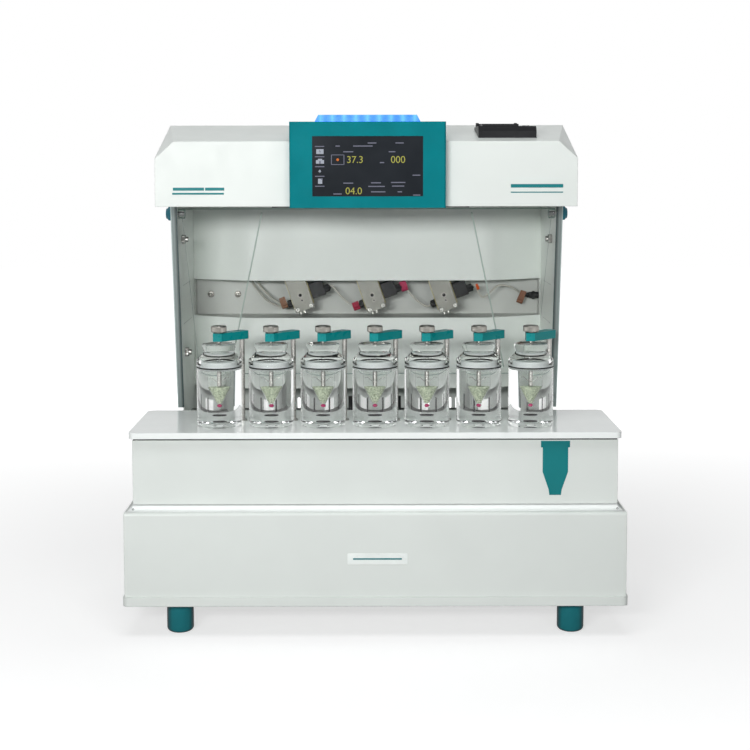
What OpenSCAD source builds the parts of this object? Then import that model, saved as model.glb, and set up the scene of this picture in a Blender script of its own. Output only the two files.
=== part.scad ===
// Flow-through cell dissolution tester: seven clear cells on a stepped base, under a hooded tower.
// X runs to the right, Y to the back, Z up. The origin is on the bench, under the middle of the base.

/* [Base] */
// Width of the lower box
base_w = 719; // [700:1:760]
// Depth of the lower box
base_d = 496; // [480:1:540]
// Height of the lower box
lower_h = 122; // [100:1:150]
// Height of the upper box, with its gasket
upper_h = 105.5; // [90:0.5:125]
// Distance that the upper box stands in from each side of the lower box
upper_in = 11; // [4:0.5:14]
// Depth of the ledge in front of the upper box
step_d = 18; // [15:0.5:40]
// Depth of the upper box
upper_d = 175; // [165:1:185]
// Thickness of the sheet metal
sheet_t = 2; // [1.5:0.25:2.5]
// Radius of the rounded front edge of the ledge
edge_r = 4; // [3:0.5:6]
// Radius of the cove between the ledge and the upper box
cove_r = 8; // [4:0.5:9]
// Thickness of the base plate
plate_t = 13; // [6:1:18]
// Overhang of the base plate beyond the boxes
plate_over = 3; // [1:0.5:8]
// Corner radius of the base plate and the deck
plate_r = 9; // [4:1:20]
// Diameter of a foot
foot_d = 39; // [25:1:50]
// Height of a foot
foot_h = 49.5; // [30:0.5:80]
// Radius of a foot's lower edge
foot_r = 6; // [2:0.5:9]
// Overhang of the solid pad over a foot
pad_over = 5; // [2:0.5:10]
// Distance from a foot's axis to the side of the box
foot_in_x = 73.5; // [40:1:120]
// Distance from a foot's axis to the front or the back of the box
foot_in_y = 45; // [30:1:80]
// Depth at which the rear panel sits inside the back rim of the base
rear_in = 12; // [8:1:20]

/* [Deck] */
// Thickness of the deck
deck_t = 9; // [7:0.5:14]
// Overhang of the deck over the front of the upper box
deck_lip = 9; // [4:0.5:15]
// Overhang of the deck at each side
deck_over = 4.5; // [1:0.5:8]
// Thickness of the gasket under the deck
gasket_t = 3.5; // [1.5:0.5:5]
// Width of the gasket strip
gasket_w = 9; // [5:0.5:14]
// Distance that the gasket lies behind the faces of the box
gasket_in = 1; // [0:0.25:1.5]
// Height of the bath tank under the deck
tank_h = 62; // [40:1:70]
// Gap between the bath tank and the walls of the upper box
tank_gap = 14; // [12:1:25]
// Diameter of the heater rod in the bath
heater_d = 10; // [6:1:14]

/* [Cells] */
// Number of cells
cell_count = 7; // [3:1:7]
// Distance between neighbouring cells
cell_pitch = 76.3; // [74:0.1:78]
// Distance from the front of the deck to the axes of the cells
cell_in = 66; // [55:1:75]
// Diameter of a cell's jacket
jacket_d = 66; // [62:0.5:68]
// Height of the jacket, up to its rim
jacket_h = 90; // [86:0.5:100]
// Depth of the rim that takes the head's plug
rim_depth = 8; // [6:0.5:10]
// Thickness of the jacket's rim
rim_t = 2; // [1.5:0.25:3]
// Height of the head's straight band above the rim
band_h = 7; // [4:0.5:10]
// Height of the head's sloping shoulder
shoulder_h = 11; // [8:0.5:16]
// Diameter of the head's neck
neck_d = 44; // [43:0.5:48]
// Thickness of the neck's wall
neck_t = 1.6; // [1.2:0.1:2]
// Diameter of the lid
lid_d = 49; // [46:0.5:54]
// Height of the lid above the neck
lid_h = 11.5; // [8:0.5:14]
// Bore of the cell
bore_d = 22.6; // [18:0.1:24]
// Bore at the foot of the cone
throat_d = 5.2; // [4:0.1:6]
// Height of the cone's foot above the deck
cone_low = 33; // [26:0.5:38]
// Height of the cone's top above the deck
cone_high = 57; // [50:0.5:64]
// Diameter of the ruby ball in the throat
ball_d = 5; // [4:0.1:5]
// Diameter of the inlet stub
stub_d = 11; // [9:0.5:12]
// Length of the inlet stub above the deck
stub_h = 27; // [18:0.5:29]
// Length of the inlet stub below the top of the deck
stub_drop = 24; // [13:1:30]
// Diameter of the outlet tube that hangs from the lid
outlet_d = 4.6; // [3:0.1:8]
// Gap between the outlet tube and the beads
outlet_gap = 1; // [0.5:0.5:10]
// Thickness of the jacket's large seal
big_seal = 3.6; // [2.5:0.1:4]
// Thickness of the lid's and the stub's seals
small_seal = 2.2; // [1.6:0.1:2.6]
// Clearance between a cell's nested pieces
nest_gap = 0.1; // [0.05:0.05:0.2]

/* [Clamps] */
// Sideways distance from a cell's axis to its post
post_dx = 31; // [30:0.5:33]
// Backward distance from a cell's axis to its post
post_dy = 33; // [31:0.5:36]
// Diameter of a post
post_d = 7.5; // [6:0.5:9]
// Diameter of a post's foot
post_foot_d = 13; // [10:0.5:14]
// Height of a post's foot
post_foot_h = 2; // [1:0.5:4]
// Thickness of a clamp arm
arm_t = 12; // [9:0.5:15]
// Width of a clamp arm
arm_w = 18; // [15:0.5:22]
// Length of a clamp arm beyond its post
arm_tail = 7; // [6:0.5:11]
// Length of a clamp arm's straight sides beyond the knob's axis
arm_cheek = 2.5; // [0:0.5:5]
// Length of a clamp arm's pointed nose beyond the knob's axis
arm_nose = 11.5; // [9:0.5:14]
// Radius of the upright corners at a clamp arm's tail
arm_r = 4; // [1:0.25:5]
// Gap between the lid and the clamp arm
arm_gap = 4; // [3:0.5:8]
// Depth of the post's socket in the clamp arm
socket_h = 9; // [5:0.5:9]
// Diameter of a clamp knob
knob_d = 23; // [20:0.5:28]
// Height of a clamp knob
knob_h = 9; // [8:0.5:15]
// Diameter of the collar under a clamp knob
collar_d = 13; // [9:0.5:16]
// Height of the collar under a clamp knob
collar_h = 1.25; // [1:0.25:3]
// Diameter of a clamp spindle
spindle_d = 6; // [4:0.5:8]
// Radial clearance of a turning fit
turn_gap = 0.05; // [0.02:0.01:0.1]
// Gap between flat faces that slide past each other
slide_gap = 0.3; // [0.2:0.05:0.5]

/* [Tower] */
// Sideways place of the tower's middle
tower_x = -12; // [-20:1:0]
// Height from the deck to the hood
bay_h = 322; // [300:1:340]
// Depth from the back of the deck to the back of the tower
tower_d = 266; // [250:1:290]
// Distance from the back of the deck to the walls' front edge, at the deck's height
wall_foot = 25; // [5:1:40]
// Distance that the walls' upper front corner reaches over the deck
wall_lean = 32; // [26:1:45]
// Thickness of the clear side panels
clear_t = 8; // [6:0.5:10]
// Depth of the clear side panels at their foot
clear_d = 176; // [150:1:220]
// Width of the back panels' flat middle
mid_w = 394; // [360:1:430]
// Depth from the back of the deck to the back panels' middle
mid_d = 118; // [105:1:130]
// Distance that the back panels' side facets run back
facet_d = 43; // [20:1:50]
// Height from the deck to the lower back panel
slot_h = 15; // [8:1:30]
// Height of the lower back panel
lower_panel_h = 117; // [100:1:130]
// Height of the valve bay's mouth
mouth_h = 61; // [50:1:70]
// Height of the valve bay behind the upper panel
mouth_over = 24; // [15:1:40]
// Depth of the valve bay
valve_d = 66; // [60:1:75]
// Diameter of a thumb nut
nut_d = 14; // [10:0.5:18]
// Length of a thumb nut
nut_l = 10; // [6:0.5:14]
// Upper and lower height of the thumb nuts above the deck
nut_z = [266, 86]; // [60:1:280]
// Depth of the upper and lower thumb nuts behind the back of the deck
nut_y = [22, 44]; // [15:1:90]
// Depth of the hose rail
rail_d = 52; // [40:1:60]
// Thickness of the hose rail
rail_t = 10; // [6:1:14]
// Height of the hose rail's top above the foot of the tower
rail_z = 97; // [85:1:100]
// Distance from a cell's axis to its hose fitting
hose_dx = 38; // [36:0.5:42]
// Diameter of a hose fitting
hose_d = 9; // [6:0.5:12]
// Height of a hose fitting
hose_h = 24; // [15:1:28]

/* [Splash guard] */
// Thickness of the splash guard
guard_t = 4; // [3:0.5:6]
// Width of the splash guard at its foot
guard_foot_w = 548; // [500:1:570]
// Height of the splash guard's foot above the deck
guard_low = 40; // [32:1:60]
// Distance from the middle to a rib's upper end
rib_top = 161; // [140:1:200]
// Distance from the middle to a rib's lower end
rib_foot = 226; // [200:1:250]
// Width of a rib
rib_w = 3; // [2:0.5:5]
// Height of a rib above the sheet
rib_t = 2; // [1:0.5:3]
// Depth of the hand knobs' axis in front of the back of the deck
hub_y = 14; // [12:0.5:20]
// Distance from the hood down to the hand knobs' axis
hub_drop = 15; // [13:0.5:20]
// Diameter of a hand knob
hub_d = 21; // [16:0.5:24]
// Thickness of a hand knob
hub_t = 8; // [5:0.5:10]
// Diameter of a hand knob's shaft
shaft_d = 8; // [6:0.5:9]
// Diameter of the guard's bosses round the shafts
boss_d = 16; // [13:0.5:20]
// Length of the guard's bosses
boss_l = 10; // [6:0.5:12]

/* [Hood] */
// Width of the hood, and of the tower over its side panels
hood_w = 597; // [590:1:630]
// Distance that the hood's front stands in front of the back of the deck
hood_reach = 177; // [170:1:190]
// Distance from the back of the deck forward to the hood's ridge
ridge_reach = 16; // [0:1:30]
// Height of the hood's upright sides at the front
cheek_h = 68; // [55:1:80]
// Height of the hood's front face
face_h = 92; // [85:1:98]
// Height of the hood's ridge
ridge_h = 119; // [110:1:130]
// Sideways cut of the hood's front upper corners
corner_w = 27; // [10:1:40]
// Height of the hood's back face
tail_h = 98; // [80:1:108]
// Depth of the slope at the hood's back
tail_d = 28; // [10:1:40]
// Thickness of the hood's shell
hood_t = 2.5; // [2:0.25:3]
// Depth at which the hood's floor lies above its rim
floor_in = 2; // [1:0.5:4]
// Width of the light bar under the hood
bar_w = 280; // [240:1:300]
// Sideways place of the light bar from the tower's middle
bar_dx = 6; // [-10:0.5:15]
// Height of the light bar
bar_h = 3.5; // [3:0.5:12]
// Depth of the light bar
bar_d = 15; // [8:0.5:25]

/* [Display] */
// Width of the display housing
disp_w = 219; // [205:1:240]
// Height of the display housing
disp_h = 120.5; // [112:0.5:126]
// Height of the display housing's foot above the hood's rim
disp_foot = -1.5; // [-3:0.5:2]
// Distance that the display housing stands out of the hood
disp_out = 18; // [10:1:25]
// Depth of the display housing's flat top
disp_top_d = 60; // [40:1:80]
// Depth from the hood's front to the end of the housing's back slope
disp_back = 120; // [100:1:140]
// Sideways place of the display from the tower's middle
disp_dx = 2; // [-5:0.5:5]
// Bevel of the display housing's front edges
disp_bevel = 2; // [1:0.5:4]
// Width of the screen
screen_w = 155; // [140:1:170]
// Height of the screen
screen_h = 84; // [76:1:92]
// Height of the screen's middle above the housing's middle
screen_up = -2; // [-8:0.5:4]
// Thickness of the screen's glass
screen_t = 3; // [2:0.5:5]
// Depth at which the glass lies behind the housing's face
screen_in = 1; // [0.5:0.5:3]
// Width of the status light
light_w = 148; // [120:1:170]
// Height of the status light
light_h = 9.5; // [8:0.5:16]
// Depth of the status light
light_d = 24; // [15:1:30]
// Sideways taper of the status light at each end
light_taper = 5; // [2:0.5:8]
// Depth of the status light's front behind the housing's face
light_in = 4; // [2:0.5:8]

/* [Printer] */
// Sideways place of the printer
print_x = 190; // [180:1:200]
// Width of the printer
print_w = 83; // [80:1:90]
// Length of the printer from front to back
print_l = 84; // [80:1:96]
// Height of the printer's level top above the roof at its back
print_t = 3; // [2:0.5:6]
// Bevel between the printer's front and its top
print_nose = 7; // [3:0.5:9]
// Depth of the printer's body under its top
print_deep = 38; // [30:1:50]
// Depth from the hood's front to the printer's middle
print_y = 72; // [66:1:80]
// Rim of the printer round the body that goes through the roof
print_rim = 4; // [3:0.5:6]
// Width of the paper bay
paper_w = 46; // [40:1:48]
// Length of the paper bay
paper_l = 56; // [50:1:60]
// Depth of the paper bay
paper_deep = 32; // [25:1:34]
// Overlap of the cover on each side of the paper bay
cover_over = 3; // [2:0.5:4]
// Thickness of the cover
cover_t = 3; // [2:0.25:4]
// Diameter of the cover's hinge barrel
barrel_d = 5; // [4.5:0.25:6]
// Diameter of the cover's hinge pins
hinge_d = 2.8; // [2:0.1:3]
// Thickness of the ears that hold the hinge pins
ear_t = 4; // [3:0.5:5]
// Width and length of the feed button
key_w = 9; // [6:0.5:12]
// Height of the feed button above the printer's top
key_up = 1.6; // [1.4:0.1:2.5]
// Travel of the feed button
key_travel = 1.2; // [0.8:0.1:1.4]
// Length of the feed button in its pocket
key_in = 2; // [1:0.25:3]

/* [Pumps] */
// Number of pump heads
pump_count = 3; // [2:1:4]
// Distance between neighbouring pump heads
pump_pitch = 118.2; // [105:0.1:125]
// Sideways place of the middle pump head from the tower's middle
pump_dx = 8; // [0:1:12]
// Height of a pump head's port above the mouth of the valve bay
pump_up = 36; // [33:0.5:38]
// Lean of a pump head to the left
pump_lean = 19; // [15:0.5:21]
// Width of a pump head's front plate
pump_w = 32; // [28:0.5:36]
// Length of a front plate below its port
pump_low = 26; // [22:0.5:27]
// Length of a front plate above its port
pump_high = 42; // [36:0.5:43]
// Thickness of a front plate
pump_t = 8; // [5:0.5:10]
// Depth of a front plate behind the mouth of the valve bay
pump_in = 12; // [8:0.5:16]
// Diameters of the ports in a front plate
port_d = [7, 4.4]; // [3:0.1:8]
// Distance that a pump head lies inside the edge of its front plate
head_in = 2; // [1:0.5:4]
// Width of the valve on a pump head's right side
valve_w = 26; // [16:0.5:30]
// Length of the valve's cap
cap_l = 9; // [8:0.5:14]
// Diameter of the fittings on the pump heads
fit_d = 11; // [9:0.5:12]
// Length of the fitting on a pump head's left side
fit_l = 11; // [8:0.5:14]
// Length of the last fitting, on the bay's right wall
end_fit_l = 16; // [10:0.5:24]
// Height of the last fitting above the mouth of the valve bay
end_fit_up = 32; // [20:1:45]
// Depth of the last fitting behind the ends of the back panels
end_fit_in = 9; // [8:0.5:14]
// Width of a pump motor
motor_w = 42; // [35:1:50]
// Length of a pump motor
motor_l = 50; // [35:1:60]
// Length of a flow tube's straight end
tube_lead = 10; // [6:0.5:14]
// Sideways distance from the first pump head to the tube through the back wall
tube_reach = 82; // [70:1:95]
// Sag of the first flow tube below the ports
tube_sag = 12; // [4:1:20]
// Diameter of the flow tubes
tube_d = 3.2; // [2.6:0.1:3.6]

/* [Rear] */
// Width of the mains inlet's flange
inlet_w = 50; // [46:1:56]
// Height of the mains inlet's flange
inlet_h = 30; // [28:1:36]
// Thickness of the flanges on the rear panel
flange_t = 3; // [2:0.5:4]
// Width of the inlet's shroud
shroud_w = 30; // [28:0.5:34]
// Height of the inlet's shroud
shroud_h = 23; // [22:0.5:26]
// Thickness of the shroud's wall
shroud_t = 2; // [1.5:0.25:2.5]
// Depth of the inlet behind the rear panel
inlet_deep = 22; // [18:1:30]
// Distance from the left end of the base to the mains inlet
inlet_in = 109.5; // [90:0.5:160]
// Distance from the mains inlet to the switch
switch_dx = 50; // [46:1:60]
// Width of the switch's opening
switch_w = 15; // [12:0.5:18]
// Height of the switch's opening
switch_h = 27.5; // [26:0.5:30]
// Thickness of the switch's frame
switch_t = 2; // [1.5:0.25:3]
// Tilt of the rocker in its off position
rocker_tilt = 8; // [5:1:9]
// Diameter of the rocker's pins
rocker_pin_d = 3; // [2:0.1:3.6]
// Width of a vent slot
vent_w = 5; // [3:0.5:8]
// Length of a vent slot
vent_l = 60; // [40:1:80]
// Distance between vent slots
vent_pitch = 12; // [10:0.5:16]
// Number of vent slots in a group
vent_count = 9; // [4:1:12]

/* [Inside] */
// Size of the power supply
psu_size = [160, 98, 48]; // [30:1:200]
// Size of the control board
board_size = [200, 120, 1.6]; // [1:0.1:240]
// Height of the control board's spacers
spacer_h = 8; // [5:0.5:15]
// Diameter of the control board's spacers
spacer_d = 7; // [5:0.5:10]
// Gap between the power supply and the rear panel
psu_gap = 30; // [15:1:60]
// Distance from the heater's bend to the side of the tank
heater_bend = 60; // [50:1:120]

/* [Hidden] */
$fn = 48;
eps = 0.01;
cut = 1;

// Colours as the photograph shows them
white_paint = [0.90, 0.91, 0.89];
teal = [0.12, 0.49, 0.51];
dark_teal = [0.09, 0.36, 0.40];
clear = [0.80, 0.90, 0.88, 0.35];
steel = [0.70, 0.70, 0.68];
grey = [0.55, 0.56, 0.56];
black = [0.08, 0.08, 0.09];

// Levels, from the bench up
plate_z = foot_h;
box_z = plate_z + plate_t;
step_z = box_z + lower_h;
rim_z = step_z + upper_h - gasket_t;
deck_z = step_z + upper_h;
top_z = deck_z + deck_t;
hood_z = top_z + bay_h;
ceiling_z = hood_z + floor_in;

// Depths, from the front to the back
front_y = -base_d / 2;
back_y = base_d / 2;
upper_front_y = front_y + step_d;
upper_back_y = upper_front_y + upper_d;
deck_front_y = upper_front_y - deck_lip;
deck_d = deck_lip + upper_d;
upper_w = base_w - 2 * upper_in;
cell_y = deck_front_y + cell_in;
rear_y = back_y - rear_in;
tower_back_y = upper_back_y + tower_d;
panel_y = upper_back_y + mid_d;
hood_front_y = upper_back_y - hood_reach;
ridge_y = upper_back_y - ridge_reach;
hood_back_y = tower_back_y + hood_t;

// Tower
clear_out = hood_w / 2;
wall_out = clear_out - clear_t;
wall_in = wall_out - sheet_t;
slot_z = top_z + slot_h;
mouth_z = slot_z + lower_panel_h;
upper_z = mouth_z + mouth_h;
valve_back_y = panel_y + valve_d;
valve_top_z = upper_z + mouth_over;
hub_axis_y = upper_back_y - hub_y;
hub_axis_z = hood_z - hub_drop;

// Hood and roof slope
roof_a = atan2(ridge_h - face_h, ridge_y - hood_front_y);
function roof_z(y) = hood_z + face_h + (y - hood_front_y) * tan(roof_a);
print_top_z = roof_z(hood_front_y + print_y + print_l / 2) + print_t;

// Cells and clamps, heights above the deck
band_z = jacket_h + band_h;
neck_z = band_z + shoulder_h;
lid_z = neck_z + lid_h;
plug_z = jacket_h - rim_depth;
plug_r = jacket_d / 2 - rim_t;
neck_r = neck_d / 2 - neck_t;
big_seal_z = plug_z + rim_depth / 2;
small_seal_z = band_z + shoulder_h / 2;
stub_seal_z = [stub_h * 0.22, stub_h * 0.57];
stub_pocket_r = stub_d / 2 + small_seal / 3;
big_seal_r = plug_r - nest_gap / 2;
lid_seal_r = neck_r - nest_gap / 2;
stub_seal_r = stub_pocket_r - nest_gap / 2;
arm_z = lid_z + arm_gap;
arm_top_z = arm_z + arm_t;
arm_span = norm([post_dx, post_dy]);
arm_turn = atan2(-post_dy, -post_dx);
knob_z = arm_top_z + slide_gap + collar_h;
function cell_x(i) = (i - (cell_count - 1) / 2) * cell_pitch;

// Pumps
pump_y = panel_y + pump_in;
pump_z = mouth_z + pump_up;
head_depth = valve_back_y - pump_y - pump_t;
valve_z = [-13, 12];
cap_z = -4;
fit_z = -9;
fit_y = pump_t + fit_d / 2 + cut;
function pump_x(i) = tower_x + pump_dx + (i - (pump_count - 1) / 2) * pump_pitch;
// Place of a point of a pump head, given along its own width, depth and length
function on_pump(i, p) = [
    pump_x(i) + p[0] * cos(pump_lean) - p[2] * sin(pump_lean),
    pump_y + p[1],
    pump_z + p[0] * sin(pump_lean) + p[2] * cos(pump_lean)];
end_fit_z = mouth_z + end_fit_up;
end_fit_y = panel_y + facet_d + end_fit_in;
end_fit_x = tower_x + wall_in - sheet_t - end_fit_l;
head_w = pump_w - 2 * head_in;
fit_x = -head_w / 2;
cap_x = head_w / 2 + valve_w;

// Plain shapes
module rounded(w, d, r) {
    square([w - 2 * r, d], center = true);
    square([w, d - 2 * r], center = true);
    for (x = [-1, 1], y = [-1, 1])
        translate([x * (w / 2 - r), y * (d / 2 - r)]) circle(r);
}
module plate_between(x0, x1, y0, y1, z0, z1) {
    translate([x0, y0, z0]) cube([x1 - x0, y1 - y0, z1 - z0]);
}
// Extrudes an outline drawn in Y and Z along X, centred on the given place
module along_x(w, x = 0) {
    translate([x - w / 2, 0, 0]) rotate([90, 0, 90]) linear_extrude(w) children();
}
module ring(major, minor) {
    rotate_extrude() translate([major, 0]) circle(minor, $fn = 24);
}
module at_cells() {
    for (i = [0:cell_count - 1]) translate([cell_x(i), cell_y, top_z]) children();
}
module at_pumps() {
    for (i = [0:pump_count - 1])
        translate([pump_x(i), pump_y, pump_z]) rotate([0, -pump_lean, 0]) children();
}
// A round tube swept through points, with rings square to the path
tube_sides = 8;
tube_steps = 6;
function unit(v) = v / norm(v);
function spline(p0, p1, p2, p3, t) =
    0.5 * (2 * p1 + (p2 - p0) * t + (2 * p0 - 5 * p1 + 4 * p2 - p3) * t * t
    + (3 * p1 - p0 - 3 * p2 + p3) * t * t * t);
function smooth_path(p) = let (n = len(p)) concat(
    [for (i = [0:n - 2], s = [0:tube_steps - 1])
        spline(p[max(i - 1, 0)], p[i], p[i + 1], p[min(i + 2, n - 1)], s / tube_steps)],
    [p[n - 1]]);
module swept_tube(points, d) {
    path = smooth_path(points);
    n = len(path);
    rings = [for (i = [0:n - 1])
        let (along = unit(path[min(i + 1, n - 1)] - path[max(i - 1, 0)]),
             side = unit(cross(along, [0, 0, 1])),
             up = cross(side, along))
        for (k = [0:tube_sides - 1])
            path[i] + d / 2 * (side * cos(360 * k / tube_sides) + up * sin(360 * k / tube_sides))];
    walls = [for (i = [0:n - 2], k = [0:tube_sides - 1])
        let (a = i * tube_sides + k, b = i * tube_sides + (k + 1) % tube_sides)
        for (f = [[a, b, b + tube_sides], [a, b + tube_sides, a + tube_sides]]) f];
    first_cap = [for (k = [1:tube_sides - 2]) [0, k + 1, k]];
    last = (n - 1) * tube_sides;
    last_cap = [for (k = [1:tube_sides - 2]) [last, last + k, last + k + 1]];
    polyhedron(rings, concat(walls, first_cap, last_cap));
}

// Base
// Shallow pan, open below, with a solid pad over each foot
module base_plate() {
    w = base_w + 2 * plate_over;
    d = base_d + 2 * plate_over;
    color(white_paint) translate([0, 0, plate_z]) {
        difference() {
            linear_extrude(plate_t) rounded(w, d, plate_r);
            translate([0, 0, -cut]) linear_extrude(plate_t - sheet_t + cut)
                rounded(w - 2 * sheet_t, d - 2 * sheet_t, plate_r - sheet_t);
        }
        at_feet() cylinder(d = foot_d + 2 * pad_over, h = plate_t);
    }
}
module at_feet() {
    for (x = [-1, 1], y = [-1, 1])
        translate([x * (base_w / 2 - foot_in_x), y * (base_d / 2 - foot_in_y), 0]) children();
}
module foot_profile() {
    r = foot_d / 2;
    square([r - foot_r, foot_h]);
    translate([0, foot_r]) square([r, foot_h - foot_r]);
    intersection() {
        translate([r - foot_r, foot_r]) circle(foot_r);
        square([r, foot_h]);
    }
}
module feet() {
    color(dark_teal) at_feet() rotate_extrude() foot_profile();
}
// Side outline of the lower box, with its rounded upper front edge, drawn in by the given amount
module lower_outline(inset, low, back) {
    y0 = front_y + inset;
    z1 = step_z - inset;
    r = edge_r - inset;
    translate([y0, low]) square([back - y0, z1 - r - low]);
    translate([y0 + r, low]) square([back - y0 - r, z1 - low]);
    translate([y0 + r, z1 - r]) circle(r);
}
// Cove between the ledge and the front of the upper box
module cove_outline() {
    difference() {
        translate([upper_front_y - cove_r, step_z - sheet_t])
            square([cove_r + sheet_t / 2, cove_r + sheet_t]);
        translate([upper_front_y - cove_r, step_z + cove_r]) circle(cove_r);
    }
}
// Lower box, and an upper box that stands in from its front and sides, one shell open at the back and on top
module base_shell() {
    inner_d = upper_d - 2 * sheet_t;
    color(white_paint) difference() {
        union() {
            along_x(base_w) lower_outline(0, box_z, back_y);
            plate_between(-upper_w / 2, upper_w / 2, upper_front_y, upper_back_y, step_z - sheet_t, rim_z);
            along_x(upper_w) cove_outline();
        }
        along_x(base_w - 2 * sheet_t) lower_outline(sheet_t, box_z - cut, back_y + cut);
        translate([0, upper_front_y + upper_d / 2, step_z - 2 * sheet_t])
            linear_extrude(upper_h + 3 * sheet_t)
            square([upper_w - 2 * sheet_t, inner_d], center = true);
    }
}
module vent_slots() {
    for (k = [0:vent_count - 1])
        translate([(k - (vent_count - 1) / 2) * vent_pitch, 0, 0]) rotate([90, 0, 0])
            linear_extrude(4 * sheet_t, center = true) rounded(vent_w, vent_l, vent_w / 2 - eps);
}
rear_mid_z = (box_z + step_z - sheet_t) / 2;
inlet_x = inlet_in - base_w / 2;
switch_x = inlet_x + switch_dx;
switch_out_w = switch_w + 2 * switch_t;
switch_out_h = switch_h + 2 * switch_t;
module base_rear_panel() {
    color(white_paint) difference() {
        plate_between(sheet_t - base_w / 2, base_w / 2 - sheet_t, rear_y - sheet_t, rear_y,
            box_z, step_z - sheet_t);
        for (x = [0, base_w / 4]) translate([x, rear_y, rear_mid_z]) vent_slots();
        translate([inlet_x, rear_y, rear_mid_z]) cube([shroud_w, 4 * sheet_t, shroud_h], center = true);
        translate([switch_x, rear_y, rear_mid_z])
            cube([switch_out_w, 4 * sheet_t, switch_out_h], center = true);
    }
}
// Appliance inlet and the frame of the switch beside it, on one moulding line of the rear panel
module mains_inlet() {
    pin = [2, 14, 4];
    ear = 3;
    color(black) translate([0, rear_y, rear_mid_z]) {
        difference() {
            union() {
                translate([inlet_x, flange_t / 2, 0]) cube([inlet_w, flange_t, inlet_h], center = true);
                translate([inlet_x, -inlet_deep / 2, 0])
                    cube([shroud_w, inlet_deep, shroud_h], center = true);
            }
            translate([inlet_x, 0, 0]) cube([shroud_w - 2 * shroud_t, 2 * (inlet_deep - shroud_t),
                shroud_h - 2 * shroud_t], center = true);
        }
        for (k = [-1:1]) translate([inlet_x + 7 * k, shroud_t - inlet_deep + pin[1] / 2, k == 0 ? -3 : 2])
            cube(pin, center = true);
        translate([switch_x, 0, 0]) difference() {
            union() {
                translate([0, flange_t / 2, 0])
                    cube([switch_out_w + 2 * ear, flange_t, switch_out_h + 2 * ear], center = true);
                translate([0, -inlet_deep / 4, 0])
                    cube([switch_out_w, inlet_deep / 2, switch_out_h], center = true);
            }
            cube([switch_w, 4 * inlet_deep, switch_h], center = true);
            rotate([0, 90, 0]) cylinder(d = rocker_pin_d + 2 * turn_gap, h = 2 * switch_out_w, center = true);
        }
    }
}
module rocker_switch() {
    half = switch_h / 2 - cut;
    crown = 5;
    color(black) translate([switch_x, rear_y, rear_mid_z]) rotate([-rocker_tilt, 0, 0]) {
        along_x(switch_w - 2 * slide_gap)
            polygon([[-crown, -half / 2], [crown, -half], [crown - 2, 0], [crown, half], [-crown, half / 2]]);
        rotate([0, 90, 0]) cylinder(d = rocker_pin_d, h = switch_out_w - 2 * slide_gap, center = true);
    }
}
module deck_gasket() {
    w = upper_w - 2 * gasket_in;
    d = upper_d - 2 * gasket_in;
    color(black) translate([0, upper_front_y + upper_d / 2, rim_z]) linear_extrude(gasket_t) difference() {
        square([w, d], center = true);
        square([w - 2 * gasket_w, d - 2 * gasket_w], center = true);
    }
}
module cell_deck() {
    color(white_paint) difference() {
        translate([0, deck_front_y + deck_d / 2, deck_z]) linear_extrude(deck_t)
            rounded(upper_w + 2 * deck_over, deck_d, plate_r);
        at_cells() cylinder(d = stub_d + 2 * nest_gap, h = 4 * deck_t, center = true);
    }
}
tank_w = upper_w - 2 * (sheet_t + tank_gap);
tank_d = upper_d - 2 * (sheet_t + tank_gap);
tank_y = upper_front_y + upper_d / 2;
tank_z = deck_z - tank_h;
heater_x = tank_w / 2 - heater_bend;
heater_y = tank_d / 4;
heater_z = tank_z + sheet_t + heater_d;
heater_end = tank_w / 2 + heater_d;
module water_bath() {
    color(steel) difference() {
        translate([0, tank_y, tank_z]) linear_extrude(tank_h) rounded(tank_w, tank_d, plate_r);
        translate([0, tank_y, tank_z + sheet_t]) linear_extrude(tank_h)
            rounded(tank_w - 2 * sheet_t, tank_d - 2 * sheet_t, plate_r - sheet_t);
        for (s = [-1, 1]) translate([0, tank_y + s * heater_y, heater_z]) rotate([0, 90, 0])
            cylinder(d = heater_d + 2 * nest_gap, h = tank_w);
    }
}
// One rod bent into a long U, with both ends through the tank's right wall
module bath_heater() {
    color(grey) translate([0, tank_y, heater_z]) {
        for (s = [-1, 1]) translate([-heater_x, s * heater_y, 0]) rotate([0, 90, 0])
            cylinder(d = heater_d, h = heater_x + heater_end);
        translate([-heater_x, 0, 0]) rotate([0, 0, 90]) rotate_extrude(angle = 180)
            translate([heater_y, 0]) circle(d = heater_d);
    }
}
module power_supply() {
    lid_inset = 6;
    vent_holes = 7;
    hole_d = 7;
    color(steel) translate([base_w / 4, rear_y - sheet_t - psu_size[1] - psu_gap, box_z]) difference() {
        translate([-psu_size[0] / 2, 0, 0]) cube(psu_size);
        for (k = [0:vent_holes - 1])
            translate([(k - (vent_holes - 1) / 2) * 2.5 * hole_d, psu_size[1] / 2, psu_size[2] - lid_inset])
                cylinder(d = hole_d, h = 2 * lid_inset);
    }
}
module control_board() {
    chip = [26, 26, 3];
    edge = 8;
    x0 = board_size[0] / 2 - edge;
    y0 = board_size[1] / 2 - edge;
    color([0.10, 0.35, 0.20]) translate([-base_w / 5, 0, box_z]) {
        for (x = [-x0, x0], y = [-y0, y0]) translate([x, y, 0]) cylinder(d = spacer_d, h = spacer_h);
        translate([-board_size[0] / 2, -board_size[1] / 2, spacer_h]) cube(board_size);
        for (k = [-1:1]) translate([k * 2 * chip[0] - chip[0] / 2, -chip[1] / 2, spacer_h + board_size[2]])
            cube(chip);
    }
}

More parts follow.
